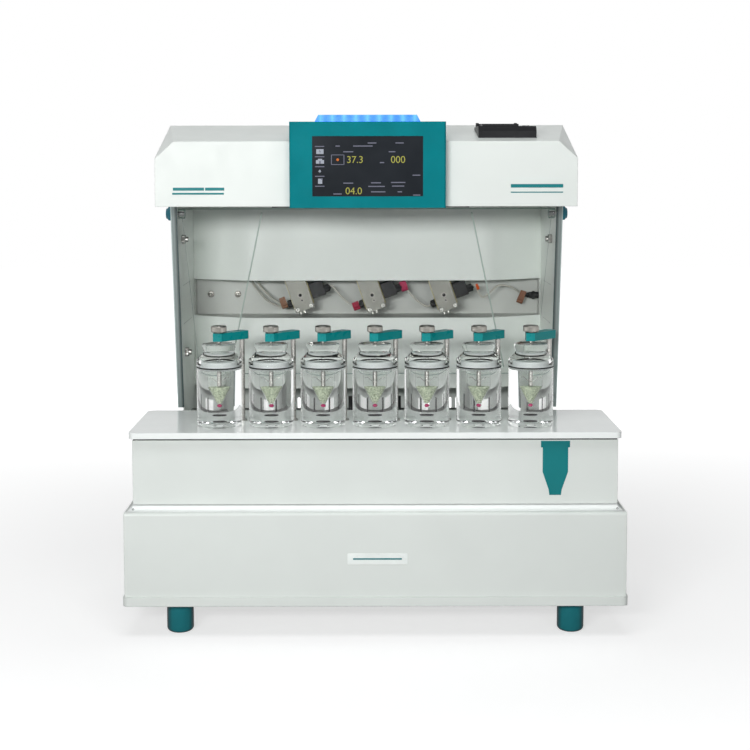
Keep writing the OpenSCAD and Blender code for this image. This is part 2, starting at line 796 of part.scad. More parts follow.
// Tower
module wall_outline(top, foot, back) {
    front = upper_back_y + wall_foot;
    polygon([[upper_back_y - wall_lean, top], [front, top_z], [front, foot], [back, foot], [back, top]]);
}
module hub_bores(w) {
    translate([tower_x, hub_axis_y, hub_axis_z]) rotate([0, 90, 0])
        cylinder(d = shaft_d + 2 * turn_gap, h = w, center = true);
}
module tower_walls() {
    color(white_paint) difference() {
        for (s = [-1, 1]) along_x(sheet_t, tower_x + s * (wall_in + sheet_t / 2))
            wall_outline(ceiling_z, step_z, tower_back_y);
        hub_bores(2 * hood_w);
    }
}
module side_panels() {
    color(clear) difference() {
        for (s = [-1, 1]) along_x(clear_t, tower_x + s * (wall_out + clear_t / 2))
            wall_outline(hood_z, top_z, upper_back_y + clear_d);
        hub_bores(2 * hood_w);
    }
}
module panel_thumb_nuts() {
    grip = nut_l * 0.6;
    color(grey) for (s = [-1, 1], k = [0, 1])
        translate([tower_x + s * wall_in, upper_back_y + nut_y[k], top_z + nut_z[k]])
            rotate([0, -90 * s, 0]) {
                cylinder(d = nut_d, h = grip);
                translate([0, 0, grip]) cylinder(d = nut_d * 0.6, h = nut_l - grip);
            }
}
// Plan of the back panels: a flat middle and two side facets, moved back by the given amount
function panel_line(dy) = [[-wall_in, panel_y + facet_d + dy], [-mid_w / 2, panel_y + dy],
    [mid_w / 2, panel_y + dy], [wall_in, panel_y + facet_d + dy]];
function reversed(p) = [for (i = [len(p) - 1:-1:0]) p[i]];
module panel_plan(d) {
    polygon(concat(panel_line(0), reversed(panel_line(d))));
}
module upper_back_panel() {
    color(white_paint) translate([tower_x, 0, upper_z])
        linear_extrude(ceiling_z - upper_z) panel_plan(sheet_t);
}
module lower_back_panel() {
    color(white_paint) translate([tower_x, 0, slot_z]) linear_extrude(lower_panel_h) panel_plan(sheet_t);
}
// Tray between the panels: floor, ceiling, back and ends
module valve_bay() {
    module plan() {
        polygon(concat(panel_line(sheet_t), [[wall_in, valve_back_y + sheet_t],
            [-wall_in, valve_back_y + sheet_t]]));
    }
    end_front_y = panel_y + facet_d + sheet_t;
    color(grey) translate([tower_x, 0, 0]) {
        translate([0, 0, mouth_z - sheet_t]) linear_extrude(sheet_t) plan();
        translate([0, 0, valve_top_z]) linear_extrude(sheet_t) plan();
        plate_between(-wall_in, wall_in, valve_back_y, valve_back_y + sheet_t, mouth_z - sheet_t,
            valve_top_z + sheet_t);
        for (s = [-1, 1]) translate([s * (wall_in - sheet_t / 2), 0, 0])
            plate_between(-sheet_t / 2, sheet_t / 2, end_front_y, valve_back_y + sheet_t,
                mouth_z - sheet_t, valve_top_z + sheet_t);
    }
}
rail_top_z = step_z + rail_z;
rail_y = panel_y - rail_d;
module hose_rail() {
    color(grey) plate_between(tower_x - wall_in, tower_x + wall_in, rail_y, panel_y,
        rail_top_z - rail_t, rail_top_z);
}
module rear_cover() {
    color(white_paint) difference() {
        plate_between(tower_x - wall_in, tower_x + wall_in, tower_back_y - sheet_t, tower_back_y,
            step_z, ceiling_z);
        for (s = [-1, 1], z = [step_z + vent_l, ceiling_z - vent_l])
            translate([tower_x + s * wall_in / 2, tower_back_y, z]) vent_slots();
    }
}

// Splash guard: a clear sheet that hangs from the hand knobs and leans back on the lower panel
guard_foot_y = panel_y - guard_t - slide_gap;
guard_foot_z = top_z + guard_low;
guard_lean = atan2(guard_foot_y - hub_axis_y, hub_axis_z - guard_foot_z);
guard_l = norm([guard_foot_y - hub_axis_y, hub_axis_z - guard_foot_z]);
guard_top_w = 2 * wall_in - boss_l;
module guard_rib(s) {
    rise = atan2(rib_foot - rib_top, guard_l);
    translate([s * rib_top, 0]) rotate(s * rise)
        translate([-rib_w / 2, -guard_l / cos(rise) + 2 * rib_w])
            square([rib_w, guard_l / cos(rise) - 3 * rib_w]);
}
module splash_guard() {
    color(clear) difference() {
        union() {
            translate([tower_x, hub_axis_y, hub_axis_z]) rotate([90 + guard_lean, 0, 0]) {
                translate([0, 0, -guard_t / 2]) linear_extrude(guard_t)
                    polygon([[-guard_top_w / 2, 0], [-guard_foot_w / 2, -guard_l],
                        [guard_foot_w / 2, -guard_l], [guard_top_w / 2, 0]]);
                translate([0, 0, guard_t / 2]) linear_extrude(rib_t) for (s = [-1, 1]) guard_rib(s);
            }
            for (s = [-1, 1]) translate([tower_x + s * (wall_in - boss_l / 2), hub_axis_y, hub_axis_z])
                rotate([0, 90, 0]) cylinder(d = boss_d, h = boss_l, center = true);
        }
        hub_bores(2 * hood_w);
    }
}
// Hand knob with a stepped rim and a shaft through the side panel, the wall and the guard's boss
module hand_knob(s) {
    shaft_l = clear_out + slide_gap - wall_in + boss_l;
    seat_x = tower_x + s * (clear_out + slide_gap);
    color(teal) translate([seat_x, hub_axis_y, hub_axis_z]) rotate([0, 90 * s, 0]) {
        cylinder(d = hub_d, h = hub_t * 0.6);
        cylinder(d1 = hub_d * 0.9, d2 = hub_d * 0.7, h = hub_t);
        translate([0, 0, -shaft_l]) cylinder(d = shaft_d, h = shaft_l + cut);
    }
}
module guard_knob_left() { hand_knob(-1); }
module guard_knob_right() { hand_knob(1); }

// Hood: upright cheeks, cut front corners, a roof that slopes up to a ridge, and a sloping tail
function hood_corners(t, low) = let (w = hood_w / 2 - t, f = hood_front_y + t, b = hood_back_y - t) [
    for (s = [-1, 1]) each [
        [s * w, f, low],
        [s * w, f, hood_z + cheek_h - t / 2],
        [s * (w - corner_w), f, hood_z + face_h - t],
        [s * w, ridge_y, hood_z + ridge_h - t],
        [s * w, b - tail_d, hood_z + ridge_h - t],
        [s * w, b, hood_z + tail_h - t],
        [s * w, b, low]]];
side_loop = [0, 1, 3, 4, 5, 6];
hood_faces = [for (f = [
    side_loop, [for (k = reversed(side_loop)) k + 7],
    [1, 2, 3], [8, 10, 9],
    [0, 7, 8, 9, 2, 1], [2, 9, 10, 3], [3, 10, 11, 4], [4, 11, 12, 5], [5, 12, 13, 6], [6, 13, 7, 0]])
    reversed(f)];
// Middle of the printer's level top
module on_printer() {
    translate([print_x, hood_front_y + print_y, print_top_z]) children();
}
module hood_shell() {
    color(white_paint) difference() {
        translate([tower_x, 0, 0]) difference() {
            polyhedron(hood_corners(0, hood_z), hood_faces);
            polyhedron(hood_corners(hood_t, hood_z - cut), hood_faces);
        }
        on_printer() cube([body_w + 2 * slide_gap, body_l + 2 * slide_gap, 2 * print_deep], center = true);
    }
}
module hood_floor() {
    half = hood_w / 2 - hood_t;
    color(white_paint) plate_between(tower_x - half, tower_x + half, hood_front_y + hood_t,
        hood_back_y - hood_t, ceiling_z, ceiling_z + sheet_t);
}
module light_bar() {
    x = tower_x + bar_dx;
    color(black) plate_between(x - bar_w / 2, x + bar_w / 2, hood_front_y + bar_d / 2,
        hood_front_y + 1.5 * bar_d, ceiling_z - bar_h, ceiling_z);
}

// Display
disp_x = tower_x + disp_dx;
disp_z = hood_z + disp_foot;
disp_front_y = hood_front_y - disp_out;
disp_top_z = disp_z + disp_h;
screen_z = disp_z + disp_h / 2 + screen_up;
module display_housing() {
    back = hood_front_y + disp_back;
    half = disp_w / 2;
    color(teal) difference() {
        intersection() {
            along_x(disp_w + 2 * cut, disp_x) polygon([[disp_front_y, disp_z],
                [disp_front_y, disp_top_z - disp_bevel], [disp_front_y + disp_bevel, disp_top_z],
                [disp_front_y + disp_top_d, disp_top_z], [back, roof_z(back)],
                [hood_front_y, hood_z + face_h], [hood_front_y, disp_z]]);
            translate([disp_x, disp_front_y, disp_z - cut]) linear_extrude(2 * disp_h) polygon([
                [-half, 2 * disp_back], [-half, disp_bevel], [disp_bevel - half, 0], [half - disp_bevel, 0],
                [half, disp_bevel], [half, 2 * disp_back]]);
        }
        plate_between(disp_x - screen_w / 2, disp_x + screen_w / 2, disp_front_y - cut,
            disp_front_y + screen_in + screen_t, screen_z - screen_h / 2, screen_z + screen_h / 2);
    }
}
module display_screen() {
    color([0.16, 0.18, 0.20]) plate_between(disp_x - screen_w / 2, disp_x + screen_w / 2,
        disp_front_y + screen_in, disp_front_y + screen_in + screen_t,
        screen_z - screen_h / 2, screen_z + screen_h / 2);
}
module status_light() {
    w = light_w / 2;
    color([0.15, 0.45, 1.0]) translate([disp_x, disp_front_y + light_in + light_d, disp_top_z])
        rotate([90, 0, 0]) linear_extrude(light_d)
            polygon([[-w, 0], [w, 0], [w - light_taper, light_h], [light_taper - w, light_h]]);
}

// Printer, a wedge on the roof with a level top
body_w = print_w - 2 * print_rim;
body_l = print_l - 2 * print_rim;
bay_x = -(body_w - paper_w) / 2 + cover_over + sheet_t;
bay_y = 0;
cover_w = paper_w + 2 * cover_over;
cover_front = bay_y - paper_l / 2 - cover_over;
hinge_y = bay_y + paper_l / 2 + cover_over + barrel_d / 2;
hinge_z = slide_gap + barrel_d / 2;
key_x = bay_x + cover_w / 2 + (print_w / 2 - bay_x - cover_w / 2) / 2;
key_y = -paper_l / 4;
module printer_wedge() {
    front = -print_l / 2;
    back = print_l / 2;
    drop = print_l * tan(roof_a) + print_t;
    along_x(print_w) polygon([[front, -drop], [front, -print_nose], [front + print_nose, 0], [back, 0],
        [back, -print_t]]);
}
module printer_body() {
    ear_w = barrel_d + 2;
    bar = 2;
    color(black) on_printer() difference() {
        union() {
            printer_wedge();
            plate_between(-body_w / 2, body_w / 2, -body_l / 2, body_l / 2, -print_deep, -print_t / 2);
            for (s = [-1, 1]) translate([bay_x + s * (cover_w / 2 + slide_gap + ear_t / 2), hinge_y, 0])
                plate_between(-ear_t / 2, ear_t / 2, -ear_w / 2, ear_w / 2, -print_t / 2,
                    hinge_z + ear_w / 2);
            plate_between(bay_x - cover_w / 2, bay_x + cover_w / 2, cover_front - 2 * bar, cover_front - bar,
                -print_t / 2, cover_t);
        }
        translate([bay_x, bay_y, cut - paper_deep / 2])
            cube([paper_w, paper_l, paper_deep + 2 * cut], center = true);
        translate([bay_x, hinge_y, hinge_z]) rotate([0, 90, 0])
            cylinder(d = hinge_d + 2 * turn_gap, h = cover_w + 4 * ear_t, center = true);
        translate([key_x, key_y, 0]) cube([key_w + 2 * slide_gap, key_w + 2 * slide_gap,
            2 * (key_in + key_travel + slide_gap)], center = true);
    }
}
module printer_cover() {
    color(black) on_printer() {
        plate_between(bay_x - cover_w / 2, bay_x + cover_w / 2, cover_front, hinge_y, slide_gap,
            slide_gap + cover_t);
        translate([bay_x, hinge_y, hinge_z]) rotate([0, 90, 0]) {
            cylinder(d = barrel_d, h = cover_w, center = true);
            cylinder(d = hinge_d, h = cover_w + 2 * (slide_gap + ear_t), center = true);
        }
    }
}
module printer_button() {
    color(grey) on_printer() translate([key_x, key_y, -key_in]) linear_extrude(key_in + key_up)
        rounded(key_w, key_w, key_w / 6);
}

// Cells
module cell_jackets() {
    r = jacket_d / 2;
    chamfer = 1.5;
    color(clear) at_cells() rotate_extrude() polygon([
        [stub_pocket_r, 0], [r - chamfer, 0], [r, chamfer], [r, jacket_h], [plug_r, jacket_h],
        [plug_r, plug_z], [bore_d / 2, plug_z], [bore_d / 2, cone_high], [throat_d / 2, cone_low],
        [throat_d / 2, stub_h + nest_gap], [stub_pocket_r, stub_h + nest_gap]]);
}
// Groove for a seal: the given outer radius of the seal and its thickness
module seal_groove(outer, t, z) {
    translate([0, 0, z]) rotate_extrude()
        translate([outer - t - nest_gap / 2, -t / 2 - nest_gap / 2]) square([t + cut, t + nest_gap]);
}
module seal(outer, t, z) {
    translate([0, 0, z]) ring(outer - t / 2, t / 2);
}
module cell_heads() {
    r = jacket_d / 2;
    color(clear) at_cells() difference() {
        rotate_extrude() polygon([
            [bore_d / 2, plug_z], [plug_r - nest_gap, plug_z], [plug_r - nest_gap, jacket_h], [r, jacket_h],
            [r, band_z], [neck_d / 2, neck_z], [neck_r, neck_z], [neck_r, band_z], [bore_d / 2, band_z]]);
        seal_groove(big_seal_r, big_seal, big_seal_z);
    }
}
module cell_lids() {
    flare = lid_h / 2;
    crown = 1;
    color(clear) at_cells() difference() {
        rotate_extrude() polygon([
            [0, band_z], [neck_r - nest_gap, band_z], [neck_r - nest_gap, neck_z], [neck_d / 2, neck_z],
            [lid_d / 2, neck_z + flare], [lid_d / 2, lid_z - crown], [lid_d / 2 - crown, lid_z], [0, lid_z]]);
        seal_groove(lid_seal_r, small_seal, small_seal_z);
    }
}
module cell_seals() {
    color(black) at_cells() {
        seal(big_seal_r, big_seal, big_seal_z);
        seal(lid_seal_r, small_seal, small_seal_z);
        for (z = stub_seal_z) seal(stub_seal_r, small_seal, z);
    }
}
module bead_beds() {
    color([0.70, 0.76, 0.63]) at_cells() translate([0, 0, cone_low])
        cylinder(d1 = throat_d - 2 * nest_gap, d2 = bore_d - 2 * nest_gap, h = cone_high - cone_low);
}
module ruby_balls() {
    color([0.62, 0.10, 0.33]) at_cells() translate([0, 0, stub_h + nest_gap + ball_d / 2]) sphere(d = ball_d);
}
module inlet_stubs() {
    color(clear) at_cells() difference() {
        translate([0, 0, -stub_drop]) cylinder(d = stub_d, h = stub_drop + stub_h);
        translate([0, 0, -stub_drop - cut]) cylinder(d = stub_d / 3, h = stub_drop + stub_h / 2);
        for (z = stub_seal_z) seal_groove(stub_seal_r, small_seal, z);
    }
}
module outlet_tubes() {
    low = cone_high + outlet_gap;
    color(grey) at_cells() translate([0, 0, low]) difference() {
        cylinder(d = outlet_d, h = band_z - low);
        translate([0, 0, -cut]) cylinder(d = outlet_d / 2, h = (band_z - low) / 2);
    }
}

// Clamps
module clamp_posts() {
    color(steel) at_cells() translate([post_dx, post_dy, 0]) {
        cylinder(d = post_foot_d, h = post_foot_h);
        cylinder(d = post_d, h = arm_z + socket_h - slide_gap);
    }
}
// Clamp arm, drawn from its post towards its cell, with a pointed nose under the knob
module clamp_arm(i) {
    l = arm_tail + arm_span;
    side = arm_span + arm_cheek;
    root = arm_span / 2;
    half = arm_w / 2;
    post = [cell_x(i) + post_dx, cell_y + post_dy, top_z + arm_z];
    color(teal) translate(post) rotate(arm_turn) difference() {
        linear_extrude(arm_t) {
            translate([l / 2 - arm_tail, 0]) rounded(l, arm_w, arm_r);
            polygon([[root, -half], [side, -half], [arm_span + arm_nose, 0], [side, half], [root, half]]);
        }
        translate([0, 0, -cut]) cylinder(d = post_d + 2 * turn_gap, h = socket_h + cut);
        translate([arm_span, 0, -cut]) cylinder(d = spindle_d + 2 * turn_gap, h = arm_t + 2 * cut);
    }
}
module clamp_knob(i) {
    r = knob_d / 2;
    bevel = 1;
    color(steel) translate([cell_x(i), cell_y, top_z]) {
        translate([0, 0, knob_z]) rotate_extrude() polygon([
            [0, 0], [r - bevel, 0], [r, bevel], [r, knob_h - bevel], [r - bevel, knob_h], [0, knob_h]]);
        translate([0, 0, knob_z - collar_h]) cylinder(d = collar_d, h = collar_h);
        translate([0, 0, lid_z + slide_gap]) cylinder(d = spindle_d, h = knob_z - lid_z - slide_gap);
    }
}

// Pumps in the valve bay
module pump_plates() {
    low_port = -port_d[0] - port_d[1] / 2;
    color(steel) at_pumps() difference() {
        plate_between(-pump_w / 2, pump_w / 2, 0, pump_t, -pump_low, pump_high);
        translate([0, -cut, 0]) rotate([-90, 0, 0]) cylinder(d = port_d[0], h = pump_t / 2 + cut);
        translate([0, -cut, low_port]) rotate([-90, 0, 0]) cylinder(d = port_d[1], h = pump_t / 2 + cut);
    }
}
module pump_heads() {
    color(black) at_pumps() {
        plate_between(-head_w / 2, head_w / 2, pump_t, pump_t + head_depth,
            3 * head_in - pump_low, pump_high - head_in);
        plate_between(head_w / 2, head_w / 2 + valve_w, pump_t, pump_t + head_depth / 2,
            valve_z[0], valve_z[1]);
    }
}
module tube_fittings() {
    color(black) {
        at_pumps() {
            translate([fit_x, fit_y, fit_z]) rotate([0, -90, 0]) cylinder(d = fit_d, h = fit_l);
            translate([cap_x, fit_y, cap_z]) rotate([0, 90, 0]) cylinder(d = fit_d, h = cap_l);
        }
        translate([end_fit_x, end_fit_y, end_fit_z]) rotate([0, 90, 0]) cylinder(d = fit_d, h = end_fit_l);
        for (i = [0:cell_count - 1]) translate([cell_x(i) + hose_dx, rail_y + rail_d / 2, rail_top_z])
            cylinder(d = hose_d, h = hose_h);
    }
}
module pump_motors() {
    corner_cut = 1.27;
    color(black) for (i = [0:pump_count - 1])
        translate([pump_x(i), valve_back_y + sheet_t + motor_l / 2, pump_z])
            intersection() {
                cube([motor_w, motor_l, motor_w], center = true);
                rotate([0, 45, 0]) cube(corner_cut * [motor_w, motor_l, motor_w], center = true);
            }
}
// Points of a straight tube end at a pump head's left fitting, and at the cap on its right
straight = [tube_lead, tube_lead / 2, slide_gap];
function into_fitting(i) = [for (d = straight) on_pump(i, [fit_x - fit_l - d, fit_y, fit_z])];
function out_of_cap(i) = [for (d = reversed(straight)) on_pump(i, [cap_x + cap_l + d, fit_y, cap_z])];
// Thin tubes that run between the fittings, and out through the back of the bay
module flow_tubes() {
    start_x = pump_x(0) - tube_reach;
    color([0.85, 0.87, 0.86]) {
        swept_tube(concat([for (d = reversed(straight)) [start_x, valve_back_y - d, pump_z]],
            [[start_x + 2 * tube_lead, pump_y + fit_y + tube_lead / 2, pump_z - tube_sag]],
            into_fitting(0)), tube_d);
        for (i = [0:pump_count - 2]) swept_tube(concat(out_of_cap(i), into_fitting(i + 1)), tube_d);
        swept_tube(concat(out_of_cap(pump_count - 1),
            [for (d = straight) [end_fit_x - d, end_fit_y, end_fit_z]]), tube_d);
    }
}

base_plate();
feet();
base_shell();
base_rear_panel();
deck_gasket();
cell_deck();
water_bath();
bath_heater();
power_supply();
control_board();
mains_inlet();
rocker_switch();
tower_walls();
side_panels();
panel_thumb_nuts();
upper_back_panel();
lower_back_panel();
valve_bay();
hose_rail();
rear_cover();
splash_guard();
guard_knob_left();
guard_knob_right();
hood_shell();
hood_floor();
light_bar();
display_housing();
display_screen();
status_light();
printer_body();
printer_cover();
printer_button();
cell_jackets();
cell_heads();
cell_lids();
cell_seals();
bead_beds();
ruby_balls();
inlet_stubs();
outlet_tubes();
clamp_posts();
for (i = [1:cell_count]) {
    clamp_arm(i - 1);
    clamp_knob(i - 1);
}
pump_plates();
pump_heads();
tube_fittings();
pump_motors();
flow_tubes();
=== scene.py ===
# %% [markdown]
# Dressing a flow-through cell dissolution tester.
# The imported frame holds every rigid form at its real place, in metres. This lesson gives those forms their
# finishes, adds the small things that a construction model leaves out, such as knurls, beads, screws and the
# page on the display, and lights the whole as a catalogue picture. Read it from the top: each cell only uses
# what the cells before it have made.

# %% Load the frame
import math
import random

import bmesh
import bpy
from mathutils import Matrix, Vector


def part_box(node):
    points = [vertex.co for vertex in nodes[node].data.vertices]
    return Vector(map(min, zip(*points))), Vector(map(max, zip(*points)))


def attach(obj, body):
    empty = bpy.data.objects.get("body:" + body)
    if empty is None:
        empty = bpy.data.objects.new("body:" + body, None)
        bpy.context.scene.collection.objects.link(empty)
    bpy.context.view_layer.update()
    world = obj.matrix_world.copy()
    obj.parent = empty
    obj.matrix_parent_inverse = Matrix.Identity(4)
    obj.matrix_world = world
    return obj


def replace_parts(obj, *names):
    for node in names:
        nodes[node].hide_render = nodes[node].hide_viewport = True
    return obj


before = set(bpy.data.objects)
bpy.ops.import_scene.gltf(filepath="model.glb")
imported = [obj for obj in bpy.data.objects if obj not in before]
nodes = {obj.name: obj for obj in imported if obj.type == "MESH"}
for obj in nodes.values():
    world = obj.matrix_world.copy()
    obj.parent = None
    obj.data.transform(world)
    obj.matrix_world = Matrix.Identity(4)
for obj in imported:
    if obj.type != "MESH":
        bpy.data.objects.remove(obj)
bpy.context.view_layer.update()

MM = 0.001

# %% [markdown]
# The camera. The picture was taken from straight in front, a little above the hood, and cut out of a larger
# frame, so its optical axis is above the middle of the picture. Guessing by eye would take many renders: the
# place, the lens and the vertical shift below come from fitting 49 edges of the frame to the picture.
# The matrix is built from the three directions of the camera, because a tiny roll is hard to read in angles.

# %% Camera
eye = Vector((-4.8, -2175.1, 676.6)) * MM
pitch, yaw, roll = (math.radians(a) for a in (4.5, 0.144, -0.088))
gaze = Vector((math.sin(yaw) * math.cos(pitch), math.cos(yaw) * math.cos(pitch), -math.sin(pitch)))
level = Vector((math.cos(yaw), -math.sin(yaw), 0))
upright = level.cross(gaze)
right = level * math.cos(roll) + upright * math.sin(roll)
top = upright * math.cos(roll) - level * math.sin(roll)

lens = bpy.data.cameras.new("catalogue_camera")
lens.lens = 65.95
lens.shift_y = -0.133
lens.clip_end = 50
camera = bpy.data.objects.new("catalogue_camera", lens)
bpy.context.collection.objects.link(camera)
camera.matrix_world = Matrix.Translation(eye) @ Matrix((right, top, -gaze)).transposed().to_4x4()
bpy.context.scene.camera = camera
bpy.context.scene.view_settings.view_transform = "Standard"
print("camera at", [round(v, 3) for v in eye])

# %% [markdown]
# Small helpers for finishes. A finish here is a Principled shader with procedural noise behind its colour, its
# gloss and its bumps. All pieces keep their mesh in the frame's own coordinates, so Object coordinates are real
# metres: a scale of 900 means features of about a millimetre. Colours are written as they look on a screen and
# turned into the linear values that Blender counts in.

# %% Helpers for finishes
def tone(r, g, b):
    """A colour as seen on a screen, 0 to 255, as Blender's linear colour."""
    return tuple((v / 255 / 12.92) if v <= 10 else ((v / 255 + 0.055) / 1.055) ** 2.4 for v in (r, g, b)) + (1.0,)


def lighter(colour, k):
    return tuple(min(1.0, v * k) for v in colour[:3]) + (1.0,)


finishes = {}


class Nodes:
    """A node tree and short ways to grow it."""

    def __init__(self, tree):
        self.tree = tree
        tree.nodes.clear()

    def add(self, kind, feeds=None, **values):
        """A new node with some settings, and with plain values or other outputs on some of its inputs."""
        made = self.tree.nodes.new(kind)
        for key, value in values.items():
            setattr(made, key, value)
        for key, value in (feeds or {}).items():
            self.feed(made.inputs[key], value)
        return made

    def feed(self, socket, value):
        if isinstance(value, bpy.types.NodeSocket):
            self.tree.links.new(value, socket)
        else:
            socket.default_value = value

    def maths(self, operation, a, b=None):
        return self.add("ShaderNodeMath", {0: a} if b is None else {0: a, 1: b}, operation=operation).outputs[0]

    def either(self, value, a, b):
        """Shader a where value is 0 and shader b where it is 1."""
        return self.add("ShaderNodeMixShader", {"Fac": value, 1: a, 2: b}).outputs[0]


class Finish(Nodes):
    """One material: a Principled shader and short ways to feed it."""

    def __init__(self, name):
        self.material = finishes[name] = bpy.data.materials.new(name)
        self.material.use_nodes = True
        super().__init__(self.material.node_tree)
        self.skin = self.add("ShaderNodeBsdfPrincipled")
        self.out = self.add("ShaderNodeOutputMaterial", {"Surface": self.skin.outputs[0]})
        self.where = self.add("ShaderNodeTexCoord").outputs["Object"]

    def set(self, **sockets):
        for key, value in sockets.items():
            self.feed(self.skin.inputs[key.replace("_", " ")], value)

    def axis(self, letter):
        return self.add("ShaderNodeSeparateXYZ", {0: self.where}).outputs[letter]

    def stretched(self, *scale):
        """The place in space, squeezed so that noise becomes streaks."""
        return self.add("ShaderNodeMapping", {"Vector": self.where, "Scale": scale}).outputs[0]

    def noise(self, scale, detail=3.0, where=None):
        return self.add("ShaderNodeTexNoise", {"Vector": where or self.where, "Scale": scale,
                                               "Detail": detail}).outputs["Fac"]

    def between(self, value, low, high, start=0.3, end=0.7):
        """A number that runs from low to high as value runs from start to end."""
        return self.add("ShaderNodeMapRange", {"Value": value, "From Min": start, "From Max": end, "To Min": low,
                                               "To Max": high}).outputs["Result"]

    def mixed(self, value, a, b):
        """Colour a where value is 0 and colour b where it is 1."""
        return self.add("ShaderNodeMix", {"Factor": value, 6: a, 7: b}, data_type="RGBA").outputs[2]

    def softened(self, radius):
        return self.add("ShaderNodeBevel", {"Radius": radius}, samples=4).outputs[0]

    def bumps(self, *layers, edge=0.0):
        """Layers of (height, strength, distance in metres) over edges softened by a bevel of the given radius."""
        normal = self.softened(edge) if edge else None
        for height, strength, distance in layers:
            made = self.add("ShaderNodeBump", {"Strength": strength, "Distance": distance, "Height": height})
            if normal:
                self.feed(made.inputs["Normal"], normal)
            normal = made.outputs[0]
        self.set(Normal=normal)

    def facing(self, way):
        """1 where the surface looks along a direction, 0 where it stands across it."""
        flat = self.add("ShaderNodeNewGeometry").outputs["Normal"]
        return self.add("ShaderNodeVectorMath", {0: flat, 1: way}, operation="DOT_PRODUCT").outputs["Value"]

    def edges(self, radius):
        """1 on edges within the given radius and 0 on flats, from how far a bevelled normal turns."""
        return self.between(self.facing(self.softened(radius)), 1.0, 0.0, 0.75, 0.995)


print("finish helpers ready")

# %% [markdown]
# White powder coat. Almost every sheet of the instrument wears it. Close up it is not flat: the powder flows into
# a fine orange peel about a millimetre across, the gloss drifts a little from place to place, and the folded
# edges catch a soft line of light and rub slightly grey. The peel is bump, the drift is noise in the roughness,
# and the soft edges come from a bevel in the shader, because the frame's own mesh has sharp folds.

# %% White powder coat
def powder_coat(name, colour, gloss, peel, edge, rub=0.85):
    coat = Finish(name)
    drift = coat.noise(9, 2)
    mottled = coat.mixed(coat.between(drift, 0.0, 1.0), lighter(colour, 0.975), lighter(colour, 1.012))
    worn = coat.maths("MULTIPLY", coat.edges(edge * 1.3), coat.between(coat.noise(60, 4), 0.0, 0.6, 0.35, 0.75))
    coat.set(Base_Color=coat.mixed(worn, mottled, lighter(colour, rub)))
    coat.set(Roughness=coat.between(coat.noise(35, 3), *gloss))
    coat.bumps((coat.noise(900, 2), peel, 0.0004), (coat.noise(140, 2), peel * 0.5, 0.0008), edge=edge)
    coat.set(IOR=1.5, Specular_IOR_Level=0.25)


powder_coat("white_coat", tone(225, 230, 226), (0.30, 0.42), 0.05, 0.0016)
# The fold takes a lighter copy of the white coat: a painted highlight.
powder_coat("fold_highlight_coat", tone(244, 248, 246), (0.30, 0.42), 0.03, 0.0016)
powder_coat("deck_coat", tone(246, 250, 248), (0.10, 0.17), 0.003, 0.0012)
# The back panels and tower walls take a lighter copy of the white coat: painted light that makes up for the shade
# inside the tower.
powder_coat("panel_lightened_coat", tone(242, 247, 242), (0.34, 0.46), 0.05, 0.0016)
powder_coat("bay_paint", tone(206, 209, 204), (0.34, 0.46), 0.06, 0.0012)
print("coats", list(finishes))

# %% [markdown]
# Teal plastic and teal anodising. The display housing, the hand knobs and the feet are moulded, with a very fine
# spark texture from the mould; the clamp arms are anodised metal, a little brighter, with a fine grain
# and edges where the colour has rubbed pale. Both are the same recipe with other numbers.

# %% Teal, black and grey mouldings
def moulded(name, colour, gloss, grain, edge=0.0006, rub=1.25, shine=0.3, rim=None):
    skin = Finish(name)
    drift = skin.between(skin.noise(25, 3), 0.0, 1.0)
    mottled = skin.mixed(drift, lighter(colour, 0.93), lighter(colour, 1.06))
    worn = skin.maths("MULTIPLY", skin.edges(edge), skin.between(skin.noise(220, 3), 0.0, 0.8, 0.35, 0.7))
    shown = skin.mixed(worn, mottled, lighter(colour, rub))
    # Painted dark reflection: when rim is given, the colour darkens towards the outline, where the surface turns away.
    if rim:
        turning = skin.add("ShaderNodeLayerWeight")
        shown = skin.mixed(skin.between(turning.outputs["Facing"], 0.0, 1.0, 0.25, 0.8), shown, rim)
    skin.set(Base_Color=shown)
    skin.set(Roughness=skin.between(skin.noise(70, 3), *gloss))
    skin.bumps((skin.noise(2200, 2), grain, 0.0002), edge=edge)
    skin.set(Specular_IOR_Level=shine)
    return skin


moulded("teal_moulding", tone(8, 122, 130), (0.40, 0.55), 0.10, shine=0.03)
moulded("teal_arm", tone(14, 142, 144), (0.24, 0.36), 0.05, rub=1.5, shine=0.2)
# The feet darken to near black along their outline, a painted dark reflection.
moulded("foot_moulding", tone(32, 116, 124), (0.30, 0.42), 0.05, shine=0.1, rim=tone(14, 18, 20))
moulded("knob_moulding", tone(30, 106, 122), (0.28, 0.40), 0.08, shine=0.2)
moulded("black_moulding", tone(30, 31, 32), (0.34, 0.50), 0.16, rub=1.9, shine=0.2)
moulded("printer_black", tone(26, 27, 29), (0.30, 0.40), 0.01, rub=1.8, shine=0.1)
moulded("seal_rubber", tone(16, 16, 17), (0.40, 0.60), 0.12, rub=1.5, shine=0.1)
moulded("ruby", tone(176, 22, 92), (0.12, 0.22), 0.02, shine=0.3)
moulded("gasket_rubber", tone(38, 40, 39), (0.55, 0.75), 0.20, rub=1.2, shine=0.1)
moulded("grey_moulding", tone(150, 152, 152), (0.35, 0.48), 0.10)
# Near black for sockets, port bores and relief holes: painted shade inside recesses.
moulded("recess_shade_black", tone(14, 14, 15), (0.35, 0.5), 0.06, rub=1.6, shine=0.15)
# The hood floor is dark grey in place of the white coat: painted shade that darkens the top of the back panel under the
# hood.
moulded("hood_floor_shade", tone(84, 87, 86), (0.5, 0.65), 0.15, shine=0.2)
moulded("board_green", tone(30, 84, 52), (0.30, 0.45), 0.10)
print("mouldings", len(finishes))

# %% [markdown]
# Bare metal. Posts, clamp knobs and outlet tubes are turned stainless steel, the pump plates and the hose rail are
# brushed aluminium. Turning and brushing leave fine lines, which is noise stretched far along one axis: it drives
# both the roughness and a shallow bump, so that highlights break up into streaks.

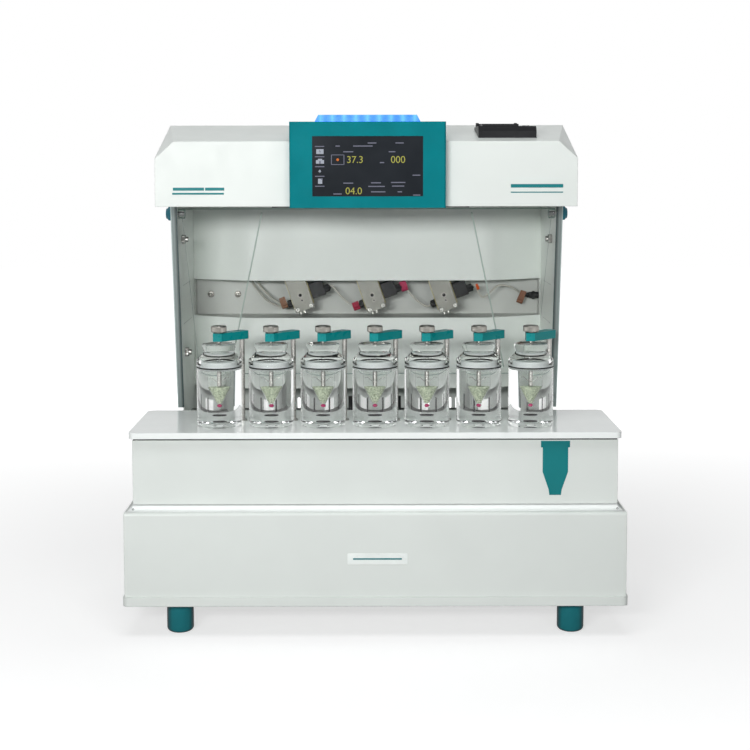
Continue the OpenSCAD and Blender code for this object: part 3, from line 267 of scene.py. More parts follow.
# %% Bare metals
def bare_metal(name, colour, gloss, lines, edge=0.0004, metal_part=1.0, rim=0.45):
    metal = Finish(name)
    streaks = metal.noise(1.0, 4, metal.stretched(*lines))
    # Painted dark reflection: towards the outline the colour darkens to rim times itself.
    turning = metal.add("ShaderNodeLayerWeight")
    lit = metal.mixed(metal.between(streaks, 0.0, 1.0), lighter(colour, 0.82), lighter(colour, 1.10))
    grazing_shade = metal.between(turning.outputs["Facing"], 0.0, 1.0, 0.35, 0.85)
    metal.set(Base_Color=metal.mixed(grazing_shade, lit, lighter(colour, rim)))
    metal.set(Roughness=metal.between(metal.noise(1.0, 3, metal.stretched(*(v * 0.6 for v in lines))), *gloss))
    metal.bumps((streaks, 0.12, 0.0002), edge=edge)
    metal.set(Metallic=metal_part, Specular_IOR_Level=0.3)


bare_metal("turned_steel", tone(172, 171, 167), (0.20, 0.36), (120, 120, 4200))
bare_metal("knob_steel", tone(150, 148, 142), (0.26, 0.40), (120, 120, 2600))
bare_metal("brushed_plate", tone(132, 132, 125), (0.40, 0.55), (180, 900, 2600), metal_part=0.3)
bare_metal("rail_aluminium", tone(190, 191, 190), (0.30, 0.45), (40, 2400, 2400))
bare_metal("bath_steel", tone(178, 178, 176), (0.25, 0.40), (60, 60, 1800))
print("metals ready")

# %% [markdown]
# Clear sheet and clear cells. Real acrylic and glass bend light, so the cells act as lenses for what stands in
# them; that needs a true refracting shader. A refracting solid would also throw a black shadow, since the lamps
# are sampled directly, so for shadow rays the material turns into a plain see-through one. The sawn edges of a
# sheet are frosted: they are told from its faces by comparing the normal with the sheet's own direction.

# %% Clear finishes
def let_lamps_through(finish, surface, tint):
    """Mixes in a transparent shader for shadow rays and for the rays that gather soft light."""
    path = finish.add("ShaderNodeLightPath").outputs
    gathering = finish.maths("MAXIMUM", path["Is Shadow Ray"], path["Is Diffuse Ray"])
    veil = finish.add("ShaderNodeBsdfTransparent", {"Color": tint}).outputs[0]
    finish.feed(finish.out.inputs["Surface"], finish.either(gathering, surface, veil))


def clear_solid(name, colour, ior, gloss=(0.0, 0.03), shade=(0.985, 0.99, 0.99, 1.0), facing=None, sawn=None,
                shine=0.5, across=None):
    """A clear solid. With facing, faces that turn away from that direction are sawn edges. With across, the middle
    of two sheets and the inner and outer distance of each, a sawn edge is painted with bright and dark bands across
    its thickness, a painted highlight and painted shade."""
    clear = Finish(name)
    clear.set(Base_Color=colour, IOR=ior, Transmission_Weight=1.0, Specular_IOR_Level=shine)
    clear.set(Roughness=clear.between(clear.noise(90, 4), *gloss, 0.45, 0.8))
    surface = clear.skin.outputs[0]
    if facing:
        cut_face = clear.between(clear.maths("ABSOLUTE", clear.facing(facing)), 1.0, 0.0, 0.45, 0.55)
        edge = sawn
        # Painted highlight and shade: light and dark bands in the edge's own tint across the sawn edge, darkening to
        # near black towards the inner face.
        if across:
            middle, *sheet = across
            out = clear.maths("ABSOLUTE", clear.maths("SUBTRACT", clear.axis("X"), middle))
            band_step = clear.maths("PINGPONG", clear.between(out, 0.0, 3.0, *sheet), 1.0)
            painted_bands = clear.mixed(band_step, lighter(sawn, 0.75), lighter(sawn, 1.6))
            edge = clear.mixed(clear.between(out, 1.0, 0.0, *sheet), painted_bands, lighter(sawn, 0.22))
        frosted = clear.add("ShaderNodeBsdfPrincipled", {"Base Color": edge, "Roughness": 0.35,
                                                         "Transmission Weight": 0.1 if across else 0.45})
        surface = clear.either(cut_face, surface, frosted.outputs[0])
    let_lamps_through(clear, surface, shade)


clear_solid("clear_cell", (0.975, 0.985, 0.98, 1), 1.49)
sheet_low, sheet_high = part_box("side_panels")
sheet_mid, sheet_out = (sheet_low.x + sheet_high.x) / 2, (sheet_high.x - sheet_low.x) / 2
# The side sheets' sawn edges get painted light and dark bands across their thickness.
clear_solid("side_sheet", (0.93, 0.97, 0.96, 1), 1.49, facing=(1, 0, 0), sawn=tone(158, 172, 170), shine=0.2,
            across=(sheet_mid, sheet_out - 8 * MM, sheet_out))


def main_facing(node):
    """The direction that most of a sheet's area faces."""
    faces = {}
    for face in nodes[node].data.polygons:
        key = tuple(round(abs(v), 2) for v in face.normal)
        faces.setdefault(key, [0.0, face.normal.copy()])[0] += face.area
    return tuple(max(faces.values(), key=lambda f: f[0])[1])


guard_way = main_facing("splash_guard")
clear_solid("guard_sheet", (0.985, 0.992, 0.99, 1), 1.15, facing=guard_way, sawn=tone(150, 176, 168),
            shine=0.3)
print("guard faces", [round(v, 2) for v in guard_way])

# %% [markdown]
# Tubing, light and screen. The thin tubes are milky silicone, so they scatter light under their surface. The
# status light is a blue diffuser over a row of light-emitting diodes: brighter spots repeat along it. The screen
# glass is near black with a faint glow, and carries its page as separate thin pieces later on.

# %% Tubing, status light and screen
def milky_tube(name, colour):
    tube = Finish(name)
    cloud = tube.between(tube.noise(300, 3), 0.0, 1.0)
    tube.set(Base_Color=tube.mixed(cloud, lighter(colour, 0.9), lighter(colour, 1.05)))
    tube.set(Roughness=tube.between(tube.noise(500, 2), 0.25, 0.4))
    tube.set(Subsurface_Weight=0.5, Subsurface_Radius=(0.002, 0.002, 0.0018), Subsurface_Scale=1.0)
    tube.bumps((tube.noise(1500, 2), 0.05, 0.0002))


milky_tube("tube_silicone", tone(196, 194, 184))

beads = Finish("bead_glass")
each_bead = beads.between(beads.noise(620, 2), 0.0, 1.0, 0.36, 0.64)
beads.set(Base_Color=beads.mixed(each_bead, tone(132, 146, 116), tone(224, 232, 206)))
beads.set(Roughness=beads.between(beads.noise(400, 2), 0.1, 0.3))

lamp_low, lamp_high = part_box("status_light")
diode_pitch = (lamp_high.x - lamp_low.x) / 9
glow = Finish("blue_diffuser")
along = glow.maths("DIVIDE", glow.maths("SUBTRACT", glow.axis("X"), lamp_low.x), diode_pitch)
from_diode = glow.maths("ABSOLUTE", glow.maths("SUBTRACT", glow.maths("FRACT", along), 0.5))
spot = glow.between(from_diode, 1.0, 0.0, 0.0, 0.5)
blotch = glow.between(glow.noise(120, 3), 0.0, 0.25)
bright = glow.maths("MINIMUM", glow.maths("ADD", glow.maths("MULTIPLY", spot, spot), blotch), 1.0)
glow.set(Base_Color=glow.mixed(bright, tone(50, 120, 240), tone(84, 160, 246)))
glow.set(Roughness=glow.between(glow.noise(200, 2), 0.3, 0.5))
glow.set(Emission_Color=glow.mixed(bright, tone(60, 132, 250), tone(110, 190, 255)))
glow.set(Emission_Strength=0.45, Specular_IOR_Level=0.2)

glass = Finish("screen_glass")
ghost = glass.between(glass.noise(14, 2), 0.0, 1.0)
glass.set(Base_Color=glass.mixed(ghost, tone(18, 20, 23), tone(24, 26, 30)))
glass.set(Emission_Color=glass.mixed(ghost, tone(38, 43, 48), tone(46, 51, 56)))
glass.set(Roughness=glass.between(glass.noise(60, 3), 0.16, 0.26))
glass.set(Emission_Strength=0.5, Specular_IOR_Level=0.03)
print("diode pitch in mm", round(diode_pitch / MM, 1))

# %% [markdown]
# Which finish goes where. Every carried-over node takes one finish for all its material slots. The
# names below follow the real object: coated sheet, clear parts, turned parts, mouldings and rubber.

# %% Put the finishes on the frame
wears = {
    "white_coat": "base_plate base_shell base_rear_panel rear_cover hood_shell",
    # the panels and walls take the lighter copy of the white coat, painted light
    "panel_lightened_coat": "upper_back_panel lower_back_panel tower_walls",
    # the hood floor is dark grey as painted shade
    "hood_floor_shade": "hood_floor",
    "deck_coat": "cell_deck",
    "bay_paint": "valve_bay",
    "teal_moulding": "display_housing",
    "foot_moulding": "feet",
    "knob_moulding": "guard_knob_left guard_knob_right",
    "black_moulding": "mains_inlet rocker_switch light_bar pump_heads tube_fittings pump_motors",
    "printer_black": "printer_body printer_cover",
    "grey_moulding": "printer_button",
    "seal_rubber": "cell_seals",
    "gasket_rubber": "deck_gasket",
    "board_green": "control_board",
    "turned_steel": "clamp_posts outlet_tubes panel_thumb_nuts bath_heater",
    "brushed_plate": "pump_plates power_supply",
    "rail_aluminium": "hose_rail",
    "bath_steel": "water_bath",
    "clear_cell": "cell_jackets cell_heads cell_lids inlet_stubs",
    "side_sheet": "side_panels",
    "guard_sheet": "splash_guard",
    "ruby": "ruby_balls",
    "bead_glass": "bead_beds",
    "tube_silicone": "flow_tubes",
    "blue_diffuser": "status_light",
    "screen_glass": "display_screen",
}
finish_of = {node: name for name, row in wears.items() for node in row.split()}
for number in range(1, 8):
    finish_of[f"clamp_arm_{number}"] = "teal_arm"
    finish_of[f"clamp_knob_{number}"] = "turned_steel"

for node, name in finish_of.items():
    skin = nodes[node]
    for slot in skin.material_slots:
        slot.material = finishes[name]
    if not skin.material_slots:
        skin.data.materials.append(finishes[name])
print("dressed", len(finish_of), "of", len(nodes), "nodes; bare:", sorted(set(nodes) - set(finish_of)))

# %% [markdown]
# Shapes in mesh code. Most small things on an instrument are turned on a lathe or cut from plate, so two recipes
# go far: a profile turned round an axis, and a block with softened edges. A Shape gathers such forms, in
# millimetres, into one piece with one or more finishes, shades it smooth, keeps edges sharp where it turns fast,
# and hangs it on the body that carries it. A modifier stack could do the same, but plain points and faces are
# easier to follow and cost nothing when the scene is opened.

# %% Helpers for shapes
class Shape:
    """Points in millimetres and faces of one piece, with the number of the finish on each face."""

    def __init__(self):
        self.points, self.faces, self.marks = [], [], []

    def add(self, form, place=Matrix(), mark=0):
        start = len(self.points)
        self.points += [place @ Vector(p) for p in form[0]]
        self.faces += [[start + i for i in face] for face in form[1]]
        self.marks += [mark] * len(form[1])
        return self

    def piece(self, name, slot, *names, body="frame", crease=32, hollow=(), weld=False):
        """Makes the piece. Faces whose finish number is in hollow bound a hole and look inwards."""
        mesh = bpy.data.meshes.new(name)
        mesh.from_pydata([p * MM for p in self.points], [], self.faces)
        for finish in names:
            mesh.materials.append(finishes[finish])
        mesh.polygons.foreach_set("material_index", self.marks)
        work = bmesh.new()
        work.from_mesh(mesh)
        if weld:
            bmesh.ops.remove_doubles(work, verts=work.verts, dist=1e-7)
        bmesh.ops.recalc_face_normals(work, faces=work.faces)
        bmesh.ops.reverse_faces(work, faces=[f for f in work.faces if f.material_index in hollow])
        work.to_mesh(mesh)
        work.free()
        mesh.shade_smooth()
        mesh.set_sharp_from_angle(angle=math.radians(crease))
        made = bpy.data.objects.new(name, mesh)
        bpy.context.collection.objects.link(made)
        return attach(made, body)


def ring_faces(points, steps, foot=True, head=True):
    """Faces that join rings of so many points one after another, and then close the first and the last ring."""
    faces = [(low + k, low + (k + 1) % steps, low + steps + (k + 1) % steps, low + steps + k)
             for low in range(0, len(points) - steps, steps) for k in range(steps)]
    last = len(points) - steps
    return faces + [tuple(range(steps))[::-1]] * foot + [tuple(range(last, last + steps))] * head


def turned(profile, steps=48, foot=True, head=True):
    """A profile of (radius, height) turned round Z. A third number cuts every second point that much deeper."""
    points = []
    for radius, height, *cut in profile:
        for k in range(steps):
            r, a = radius - (cut[0] if cut and k % 2 else 0.0), math.tau * k / steps
            points.append((r * math.cos(a), r * math.sin(a), height))
    return points, ring_faces(points, steps, foot, head)


def block(low, high, soft=0.3, rounds=2):
    """A block between two corners with softened edges."""
    work = bmesh.new()
    bmesh.ops.create_cube(work, size=1.0)
    for v in work.verts:
        v.co = [a + (b - a) * (c + 0.5) for a, b, c in zip(low, high, v.co)]
    bmesh.ops.bevel(work, geom=work.edges[:], offset=soft, segments=rounds, profile=0.5, affect="EDGES")
    work.verts.index_update()
    form = [tuple(v.co) for v in work.verts], [[v.index for v in f.verts] for f in work.faces]
    work.free()
    return form


def cut_out(outline, thick):
    """A sheet with an outline of (x, z) points, lying on Y = 0 and standing out towards -Y."""
    points = [(x, y, z) for y in (0.0, -thick) for x, z in outline]
    return points, ring_faces(points, len(outline))


def bar_along(path, radius, steps=10):
    """A round bar that follows a path of points."""
    path = [Vector(p) for p in path]
    points, across = [], None
    for k, here in enumerate(path):
        ahead = (path[min(k + 1, len(path) - 1)] - path[max(k - 1, 0)]).normalized()
        across = across or ahead.orthogonal()
        across = (across - ahead * across.dot(ahead)).normalized()
        other = ahead.cross(across)
        for j in range(steps):
            a = math.tau * j / steps
            points.append(here + (across * math.cos(a) + other * math.sin(a)) * radius)
    return points, ring_faces(points, steps)


def at(x, y, z):
    return Matrix.Translation((x, y, z))


def spin(degrees, axis):
    return Matrix.Rotation(math.radians(degrees), 4, axis)


def box_mm(node):
    return [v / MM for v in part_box(node)]


to_viewer = spin(90, "X")
print("shape helpers ready")

# %% [markdown]
# The clear cells. In the frame a cell is a jacket, a head, a lid and a stub with hair gaps between them. Light
# would lose itself in those gaps, so the four are shown as one solid of clear plastic, turned from a single
# profile with fine grooves where the parts meet. The widest black ring lies in a groove around it, where it shows
# as one thin line; the smaller ones sit inside. The hole inside is a second profile that looks inwards. Its lower
# part is full of liquid, which bends light almost as much as the plastic: there the wall gets a finish with only
# the small step between the two, and that makes the beads look as wide as they do in a real cell. The head above
# holds air and bends light less, so one looks into it.

# %% Clear cells
low, high = box_mm("cell_jackets")
cell_y, deck_z = (low.y + high.y) / 2, low.z


def measured(node):
    """The radius of a row of round parts, and their lowest and highest level above the deck."""
    low, high = box_mm(node)
    return (high.y - low.y) / 2, low.z - deck_z, high.z - deck_z


jacket_r, _, jacket_h = measured("cell_jackets")
lid_r, band_h, lid_h = measured("cell_lids")
_, plug_h, neck_h = measured("cell_heads")
bed_r, bed_foot, cone_h = measured("bead_beds")
_, stub_foot, throat_h = measured("inlet_stubs")
cell_x = [low.x + jacket_r + (high.x - low.x - 2 * jacket_r) * i / 6 for i in range(7)]
play = 0.1
bore_r = bed_r + play
stub_r, throat_r, neck_r, air_r = 5.5, 2.6, 22.0, 27.0
ring_h, ring_cut, turns = 86.3, 1.9, 96
cell_spots = [at(x, cell_y, deck_z) for x in cell_x]
clear_solid("wetted_bore", (0.97, 0.985, 0.975, 1), 1.012, (0.0, 0.02))
clear_solid("clear_head", (0.98, 0.988, 0.985, 1), 1.13)
outer_profile = [
    (stub_r, stub_foot), (stub_r, -0.2), (jacket_r - 1.5, 0), (jacket_r, 1.5), (jacket_r, ring_h - 1.2),
    (jacket_r - ring_cut, ring_h - 1.0), (jacket_r - ring_cut, ring_h + 1.0), (jacket_r, ring_h + 1.2),
    (jacket_r, jacket_h - 0.35), (jacket_r - 0.4, jacket_h)]
head_outside = [
    (jacket_r - 0.4, jacket_h), (jacket_r, jacket_h + 0.35), (jacket_r, band_h - 0.5), (jacket_r - 0.5, band_h + 0.5),
    (neck_r + 0.5, neck_h - 0.5), (neck_r - 0.4, neck_h), (neck_r + 0.3, neck_h + 0.5),
    (lid_r, neck_h + 5.75), (lid_r, lid_h - 0.8), (lid_r - 0.8, lid_h)]
bore_profile = [(throat_r, throat_h), (throat_r, bed_foot), (bore_r, cone_h), (bore_r, plug_h)]
head_profile = [(bore_r, plug_h), (air_r - 0.6, plug_h), (air_r, plug_h + 0.6), (air_r, band_h - 1.8),
                (air_r - 0.8, band_h - 1.0)]
cells = Shape()
for spot in cell_spots:
    cells.add(turned(outer_profile, turns, head=False), spot)
    cells.add(turned(head_outside, turns, foot=False), spot, 3)
    cells.add(turned(bore_profile, turns, head=False), spot, 1)
    cells.add(turned(head_profile, turns, foot=False), spot, 2)
clear_cells = cells.piece("clear_cells", "clear_cell", "clear_cell", "wetted_bore", "clear_head", "clear_head",
                          crease=20, hollow=(1, 2), weld=True)
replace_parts(clear_cells, "cell_jackets", "cell_heads", "cell_lids", "inlet_stubs")
print("cells at", [round(x, 1) for x in cell_x], "faces", len(clear_cells.data.polygons))

# %% [markdown]
# The bead beds. Each cone holds hundreds of glass beads about two millimetres across. Whole spheres would be
# wasteful, since only the outer half of a bead shows: each bead is a small dome, set on a core in rings, with
# every other ring shifted by half a bead. A little chance in place and depth breaks the pattern.

# %% Bead beds
dice = random.Random(4)
bead_r = 0.95
dome = [(bead_r * math.cos(t) * math.cos(a), bead_r * math.cos(t) * math.sin(a), bead_r * math.sin(t))
        for t in (0.0, 0.7) for a in (math.tau * k / 7 for k in range(7))] + [(0, 0, bead_r)]
dome_faces = [(k, (k + 1) % 7, 7 + (k + 1) % 7, 7 + k) for k in range(7)]
dome_faces += [(7 + k, 7 + (k + 1) % 7, 14) for k in range(7)] + [tuple(range(6, -1, -1))]

bed_tip = throat_r - play
slope = Vector((bed_r - bed_tip, cone_h - bed_foot))
outward = Vector((slope.y, 0, -slope.x)).normalized()
bed_rings = []
rows = int(slope.length / (bead_r * 1.75))
for row in range(rows):
    middle = Vector((bed_tip, bed_foot)) + slope * ((row + 0.5) / rows)
    bed_rings.append((middle.x - outward.x * bead_r, middle.y - outward.z * bead_r, outward))
for ring in range(6):
    bed_rings.append((bed_r - bead_r * (1.2 + 1.9 * ring), cone_h - bead_r, Vector((0, 0, 1))))

beds = Shape()
for spot in cell_spots:
    beds.add(turned([(bed_tip - 0.8, bed_foot), (bed_r - 0.9, cone_h - 1.1), (bed_r - 1.6, cone_h - 0.9)], 40), spot)
    for k, (r, h, way) in enumerate(bed_rings):
        count = max(5, int(math.tau * max(r, 0.3) / (bead_r * 1.92)))
        for j in range(count):
            angle = math.tau * (j + 0.5 * (k % 2) + dice.uniform(-0.12, 0.12)) / count
            turn = Matrix.Rotation(angle, 4, "Z")
            tilt = way.to_track_quat("Z", "Y").to_matrix().to_4x4()
            sink = dice.uniform(0, 0.25)
            beds.add((dome, dome_faces), spot @ turn @ at(r - way.x * sink, 0, h - way.z * sink) @ tilt)
bead_piece = beds.piece("bead_cones", "beads", "bead_glass", crease=70)
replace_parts(bead_piece, "bead_beds")
print("bead faces", len(bead_piece.data.polygons))

# %% [markdown]
# What surrounds a bed. A bent wire holds the tablet over the beads, white discs filter the liquid, black rings seal
# the joints, and a steel tube hangs from the head; within the head it is as clear as the head itself. The wire is a
# bar along a path and all the rest is turned, so one pass over the seven cells places everything.

# %% Wires, filters, rings and outlet tubes
holders, plugs, rings, outlets = Shape(), Shape(), Shape(), Shape()
outlet_r, rod_foot, rod_top = measured("outlet_tubes")
tube_hole, disc_h = outlet_r + 0.3, 103.9
bends = [(-bore_r + 0.6, 71), (-7.5, 71.5), (-3, 66), (0, 64), (3, 66), (7.5, 71.5), (bore_r - 0.6, 71)]
lower_disc = [(20, plug_h + 1.4), (air_r - 0.8, plug_h + 1.6), (air_r - 0.3, plug_h + 2.2),
              (air_r - 0.3, band_h - 3.4), (air_r - 1.0, band_h - 2.6), (tube_hole, band_h - 2.2),
              (tube_hole, plug_h + 1.4)]
upper_disc = [(18.6, disc_h), (20.2, disc_h + 0.3), (20.6, disc_h + 0.7), (20.2, disc_h + 1.3),
              (tube_hole, disc_h + 1.5), (tube_hole, disc_h)]
ring_sizes = ((jacket_r - 1.0, 0.95, ring_h), (neck_r - 1.15, 0.95, 102.5), (stub_r + 0.6, 0.9, 5.9),
              (stub_r + 0.6, 0.9, 15.4))
for spot in cell_spots:
    holders.add(bar_along([(u, -3.4, h) for u, h in bends], 0.4, 8), spot)
    for disc in (lower_disc, upper_disc):
        plugs.add(turned(disc, 64), spot)
    for r, t, h in ring_sizes:
        around = [(r + t * math.cos(a), t * math.sin(a)) for a in (math.tau * k / 12 for k in range(12))]
        rings.add(turned(around + around[:1], 72, foot=False, head=False), spot @ at(0, 0, h))
    outlets.add(turned([(outlet_r - 0.5, rod_foot), (outlet_r, rod_foot + 0.5), (outlet_r, plug_h)], 32), spot)
    outlets.add(turned([(outlet_r, plug_h), (outlet_r, rod_top)], 32), spot, 1)
holders.piece("tablet_holders", "steel", "turned_steel", crease=60)
plug_skin = moulded("filter_white", tone(214, 219, 217), (0.4, 0.55), 0.08, shine=0.3)
let_lamps_through(plug_skin, plug_skin.skin.outputs[0], (0.8, 0.82, 0.81, 1))
plugs.piece("filter_plugs", "clear_cell", "filter_white")
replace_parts(rings.piece("cell_rings", "black_rubber", "seal_rubber", weld=True), "cell_seals")
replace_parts(outlets.piece("outlet_rods", "steel", "turned_steel", "clear_cell"), "outlet_tubes")
print("rings at heights", [h for _, _, h in ring_sizes])

# %% [markdown]
# Knurled knobs. A knurl is pressed by a toothed wheel, which leaves fine ridges along the rim. Noise in a bump
# would not show on the outline, so the ridges are real: every second point of the lathe profile is cut deeper.
# The clamp knobs turn with their screws, so each rides on its own body; the hand knobs of the guard are teal on
# a grey shaft; the thumb nuts inside the tower are plain steel.

# %% Knurled knobs and nuts
knob_head, hand_head, nut_r = 9.0, 8, 7.0
for number in range(1, 8):
    low, high = box_mm(f"clamp_knob_{number}")
    middle, r = (low + high) / 2, (high.x - low.x) / 2
    foot, head = high.z - knob_head - low.z, high.z - low.z
    knob = Shape().add(turned([
        (2.3, 0), (3, 0.7), (3, foot - 1.25), (6.3, foot - 1.25), (6.5, foot - 1.0), (6.5, foot), (r - 1.0, foot),
        (r - 0.1, foot + 0.8), (r, foot + 0.9, 0.5), (r, head - 1.5, 0.5), (r - 0.1, head - 1.4), (r - 1.3, head),
        (r - 3.2, head), (r - 3.7, head - 0.5), (3.4, head - 0.5), (3.0, head - 0.2)], 96),
        at(middle.x, middle.y, low.z))
    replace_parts(knob.piece(f"knurled_knob_{number}", "steel", "knob_steel", body=f"clamp_knob_{number}"),
                f"clamp_knob_{number}")

for side, way in (("left", -1), ("right", 1)):
    low, high = box_mm(f"guard_knob_{side}")
    middle, r = (low + high) / 2, (high.z - low.z) / 2
    inner_x, outer_x = (low.x, high.x) if way > 0 else (high.x, low.x)
    shaft = abs(outer_x - inner_x) - hand_head
    along_shaft = at(inner_x, middle.y, middle.z) @ spin(way * 90, "Y")
    knob = Shape()
    knob.add(turned([(2.4, 0), (2.9, 0.6), (2.9, shaft + 0.2)], 32), along_shaft, 1)
    knob.add(turned([(r - 1.2, shaft), (r - 0.2, shaft + 0.7), (r, shaft + 0.9, 0.7), (r, shaft + 4.2, 0.7),
                     (r - 0.3, shaft + 4.6), (r - 1.6, shaft + 5.4), (r * 0.74, shaft + 7.6),
                     (r * 0.66, shaft + hand_head), (r * 0.3, shaft + hand_head), (r * 0.26, shaft + 7.6)], 72),
             along_shaft)
    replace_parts(knob.piece(f"hand_knob_{side}", "teal_plastic", "knob_moulding", "grey_moulding",
                           body=f"guard_knob_{side}"), f"guard_knob_{side}")

low, high = box_mm("panel_thumb_nuts")
nut_places = {}
for v in nodes["panel_thumb_nuts"].data.vertices:
    point = v.co / MM
    key = (point.x > (low.x + high.x) / 2, point.z > (low.z + high.z) / 2)
    nut_places.setdefault(key, []).append(point)
nuts = Shape()
for (right_side, _), points in nut_places.items():
    middle = Vector([(min(p[k] for p in points) + max(p[k] for p in points)) / 2 for k in range(3)])
    wall_x = max(p.x for p in points) if right_side else min(p.x for p in points)
    turn = spin(-90 if right_side else 90, "Y")
    nuts.add(turned([(nut_r - 0.6, 0), (nut_r - 0.1, 0.5), (nut_r, 0.6, 0.5), (nut_r, 5.4, 0.5), (nut_r - 0.1, 5.5),
                     (nut_r - 0.8, 6), (4.2, 6), (4.2, 9.4), (3.6, 10), (1.8, 10), (1.6, 9.6)], 56),
             at(wall_x, middle.y, middle.z) @ turn)
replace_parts(nuts.piece("knurled_nuts", "grey_metal", "turned_steel"), "panel_thumb_nuts")
print("knurled 7 knobs, 2 hand knobs and", len(nut_places), "nuts")

# %% [markdown]
# The pump heads. Each tilted plate carries two ports and a few cap screws, and coloured tags mark the thin tubes.
# All of it is placed in the tilted frame of its pump: a matrix that first leans and then moves does the sums. A
# cap screw is a turned head with a six-sided socket; the socket is a six-step lathe form in near black, painted
# shade in place of a cut hole, which costs less and looks the same at this size. The port bores are painted
# shade in the same way.

# %% Pump screws, ports and tags
def cap_screw(shape, place, r, head, mark=0, socket=1):
    """A cap screw along +Z of place, with a six-sided socket painted near black as shade."""
    shape.add(turned([(r - 0.1, -0.5), (r, -0.3), (r, head - 0.5), (r - 0.5, head), (r * 0.5, head)], 28), place, mark)
    shape.add(turned([(r * 0.52, head - 0.6), (r * 0.52, head + 0.02), (r * 0.3, head + 0.02), (r * 0.26, head - 0.3)],
                     6), place, socket)


plate_low, plate_high = box_mm("pump_plates")
lean = math.radians(19)
plate_w, plate_foot, plate_top = 32.0, -26.0, 42.0
leaning_w = plate_w * math.cos(lean) + (plate_top - plate_foot) * math.sin(lean)
pump_y = plate_low.y
pump_z = plate_low.z - plate_foot * math.cos(lean) + plate_w / 2 * math.sin(lean)
first_x = plate_low.x + plate_w / 2 * math.cos(lean) + plate_top * math.sin(lean)
pump_gap = (plate_high.x - plate_low.x - leaning_w) / 2
pumps = [at(first_x + pump_gap * i, pump_y, pump_z) @ Matrix.Rotation(-lean, 4, "Y") for i in range(3)]

hardware = Shape()
for pump in pumps:
    for u, h in ((-11.5, -21.5), (11.5, -21.5)):
        cap_screw(hardware, pump @ at(u, 0, h) @ to_viewer, 3.3, 2.8)
    for u, h, r in ((0, 0, 3.5), (0, -9.2, 2.2)):
        hardware.add(turned([(r - 0.05, -3.9), (r - 0.05, -0.2), (r + 0.7, 0.05), (r + 0.7, 0.4), (r - 0.5, 0.4),
                             (r - 0.6, -1.6)], 28), pump @ at(u, 0, h) @ to_viewer, 3)
        # The bore of each port is painted near black as shade.
        hardware.add(turned([(r - 0.65, -3), (r - 0.65, -1.2), (r - 1.0, -1.0)], 20), pump @ at(u, 0, h) @ to_viewer, 1)
    hardware.add(block((plate_w / 2 - 0.2, 5.2, plate_foot + 6), (plate_w / 2 + 1.4, 8, plate_top - 8), 0.4), pump, 2)
    hardware.add(block((-plate_w / 2 - 1.2, 5.4, plate_foot + 5), (-plate_w / 2 + 0.2, 8, plate_top - 6), 0.4), pump, 2)
    for u in (-9, -2):
        hardware.add(turned([(2.4, 0), (2.6, 0.3), (2.6, 4.2), (2.0, 4.8)], 20),
                     pump @ at(u, 4.2, plate_foot + 0.1) @ spin(180, "X"))
moulded("seal_amber", tone(188, 178, 128), (0.35, 0.5), 0.06)
bare_metal("bright_screw", tone(212, 212, 206), (0.18, 0.30), (300, 300, 900), rim=0.6)
hardware.piece("pump_hardware", "steel", "bright_screw", "recess_shade_black", "seal_amber", "knob_steel")


def tag(name, tone_of, place, width, height):
    """A folded strip of film: a loop round the tube and a flag above it."""
    moulded(name, tone_of, (0.4, 0.55), 0.04, shine=0.2)
    strip = [(-width / 2, 0), (width / 2, 0.4), (width / 2 - 0.8, height), (-width / 2 + 0.5, height - 0.6)]
    form = Shape().add(cut_out(strip, 0.5), place)
    form.add(turned([(2.9, -width * 0.45), (3.1, -width * 0.4), (3.1, width * 0.4), (2.9, width * 0.45)], 16),
             place @ at(0, 0.6, -1.4) @ spin(90, "Y"))
    form.piece(name, "tubing", name)


tag("tag_brown", tone(132, 96, 74), pumps[0] @ at(-31, 12.6, -9), 11, 15)
tag("tag_crimson", tone(150, 34, 60), pumps[1] @ at(-31, 12.6, -12), 12, 10)
tag("tag_rose", tone(166, 44, 80), pumps[1] @ at(54, 12.6, -8), 12, 13)
tag("tag_orange", tone(214, 92, 40), pumps[2] @ at(57, 12.6, -7), 5, 6)
print("pump spacing", round(pump_gap, 1), "height", round(pump_z, 1))

# %% [markdown]
# The valve bay. Thin tubes link the pumps in a row. Real tubes hang in soft curves, so each is a bar bent along
# a smooth path through a few places, from a cap on the right of one pump to the fitting on the left of the next.
# Ribbed caps cover the plain ends of the frame's fittings, two button-head bolts hold the drive to the back wall,
# and the dark fitting at the right end steps down twice.

# %% Tubes, caps and bolts
def smooth_path(places, between=8):
    """A curve that passes through all the places."""
    p = [Vector(places[0])] + [Vector(v) for v in places] + [Vector(places[-1])]
    path = []
    for k in range(1, len(p) - 2):
        for j in range(between):
            t = j / between
            path.append(0.5 * (2 * p[k] + (p[k + 1] - p[k - 1]) * t
                               + (2 * p[k - 1] - 5 * p[k] + 4 * p[k + 1] - p[k + 2]) * t * t
                               + (3 * p[k] - p[k - 1] - 3 * p[k + 1] + p[k + 2]) * t ** 3))
    return path + [p[-1]]


def on_pump(i, u, y, h):
    return pumps[i] @ Vector((u, y, h))


bay_back = box_mm("valve_bay")[1].y - 2
tube_points = [v.co / MM for v in nodes["flow_tubes"].data.vertices]
far_x = max(p.x for p in tube_points)
tube_end = [p for p in tube_points if p.x > far_x - 0.5]
tube_end = sum(tube_end, Vector()) / len(tube_end)
tube_y = 14.5

tubes = Shape()
tube_lengths = []


def hang(places):
    """One thin tube along a smooth path; its length is kept for the print."""
    path = smooth_path(places)
    tubes.add(bar_along(path, 1.6, 12))
    tube_lengths.append(round(sum((b - a).length for a, b in zip(path, path[1:]))))


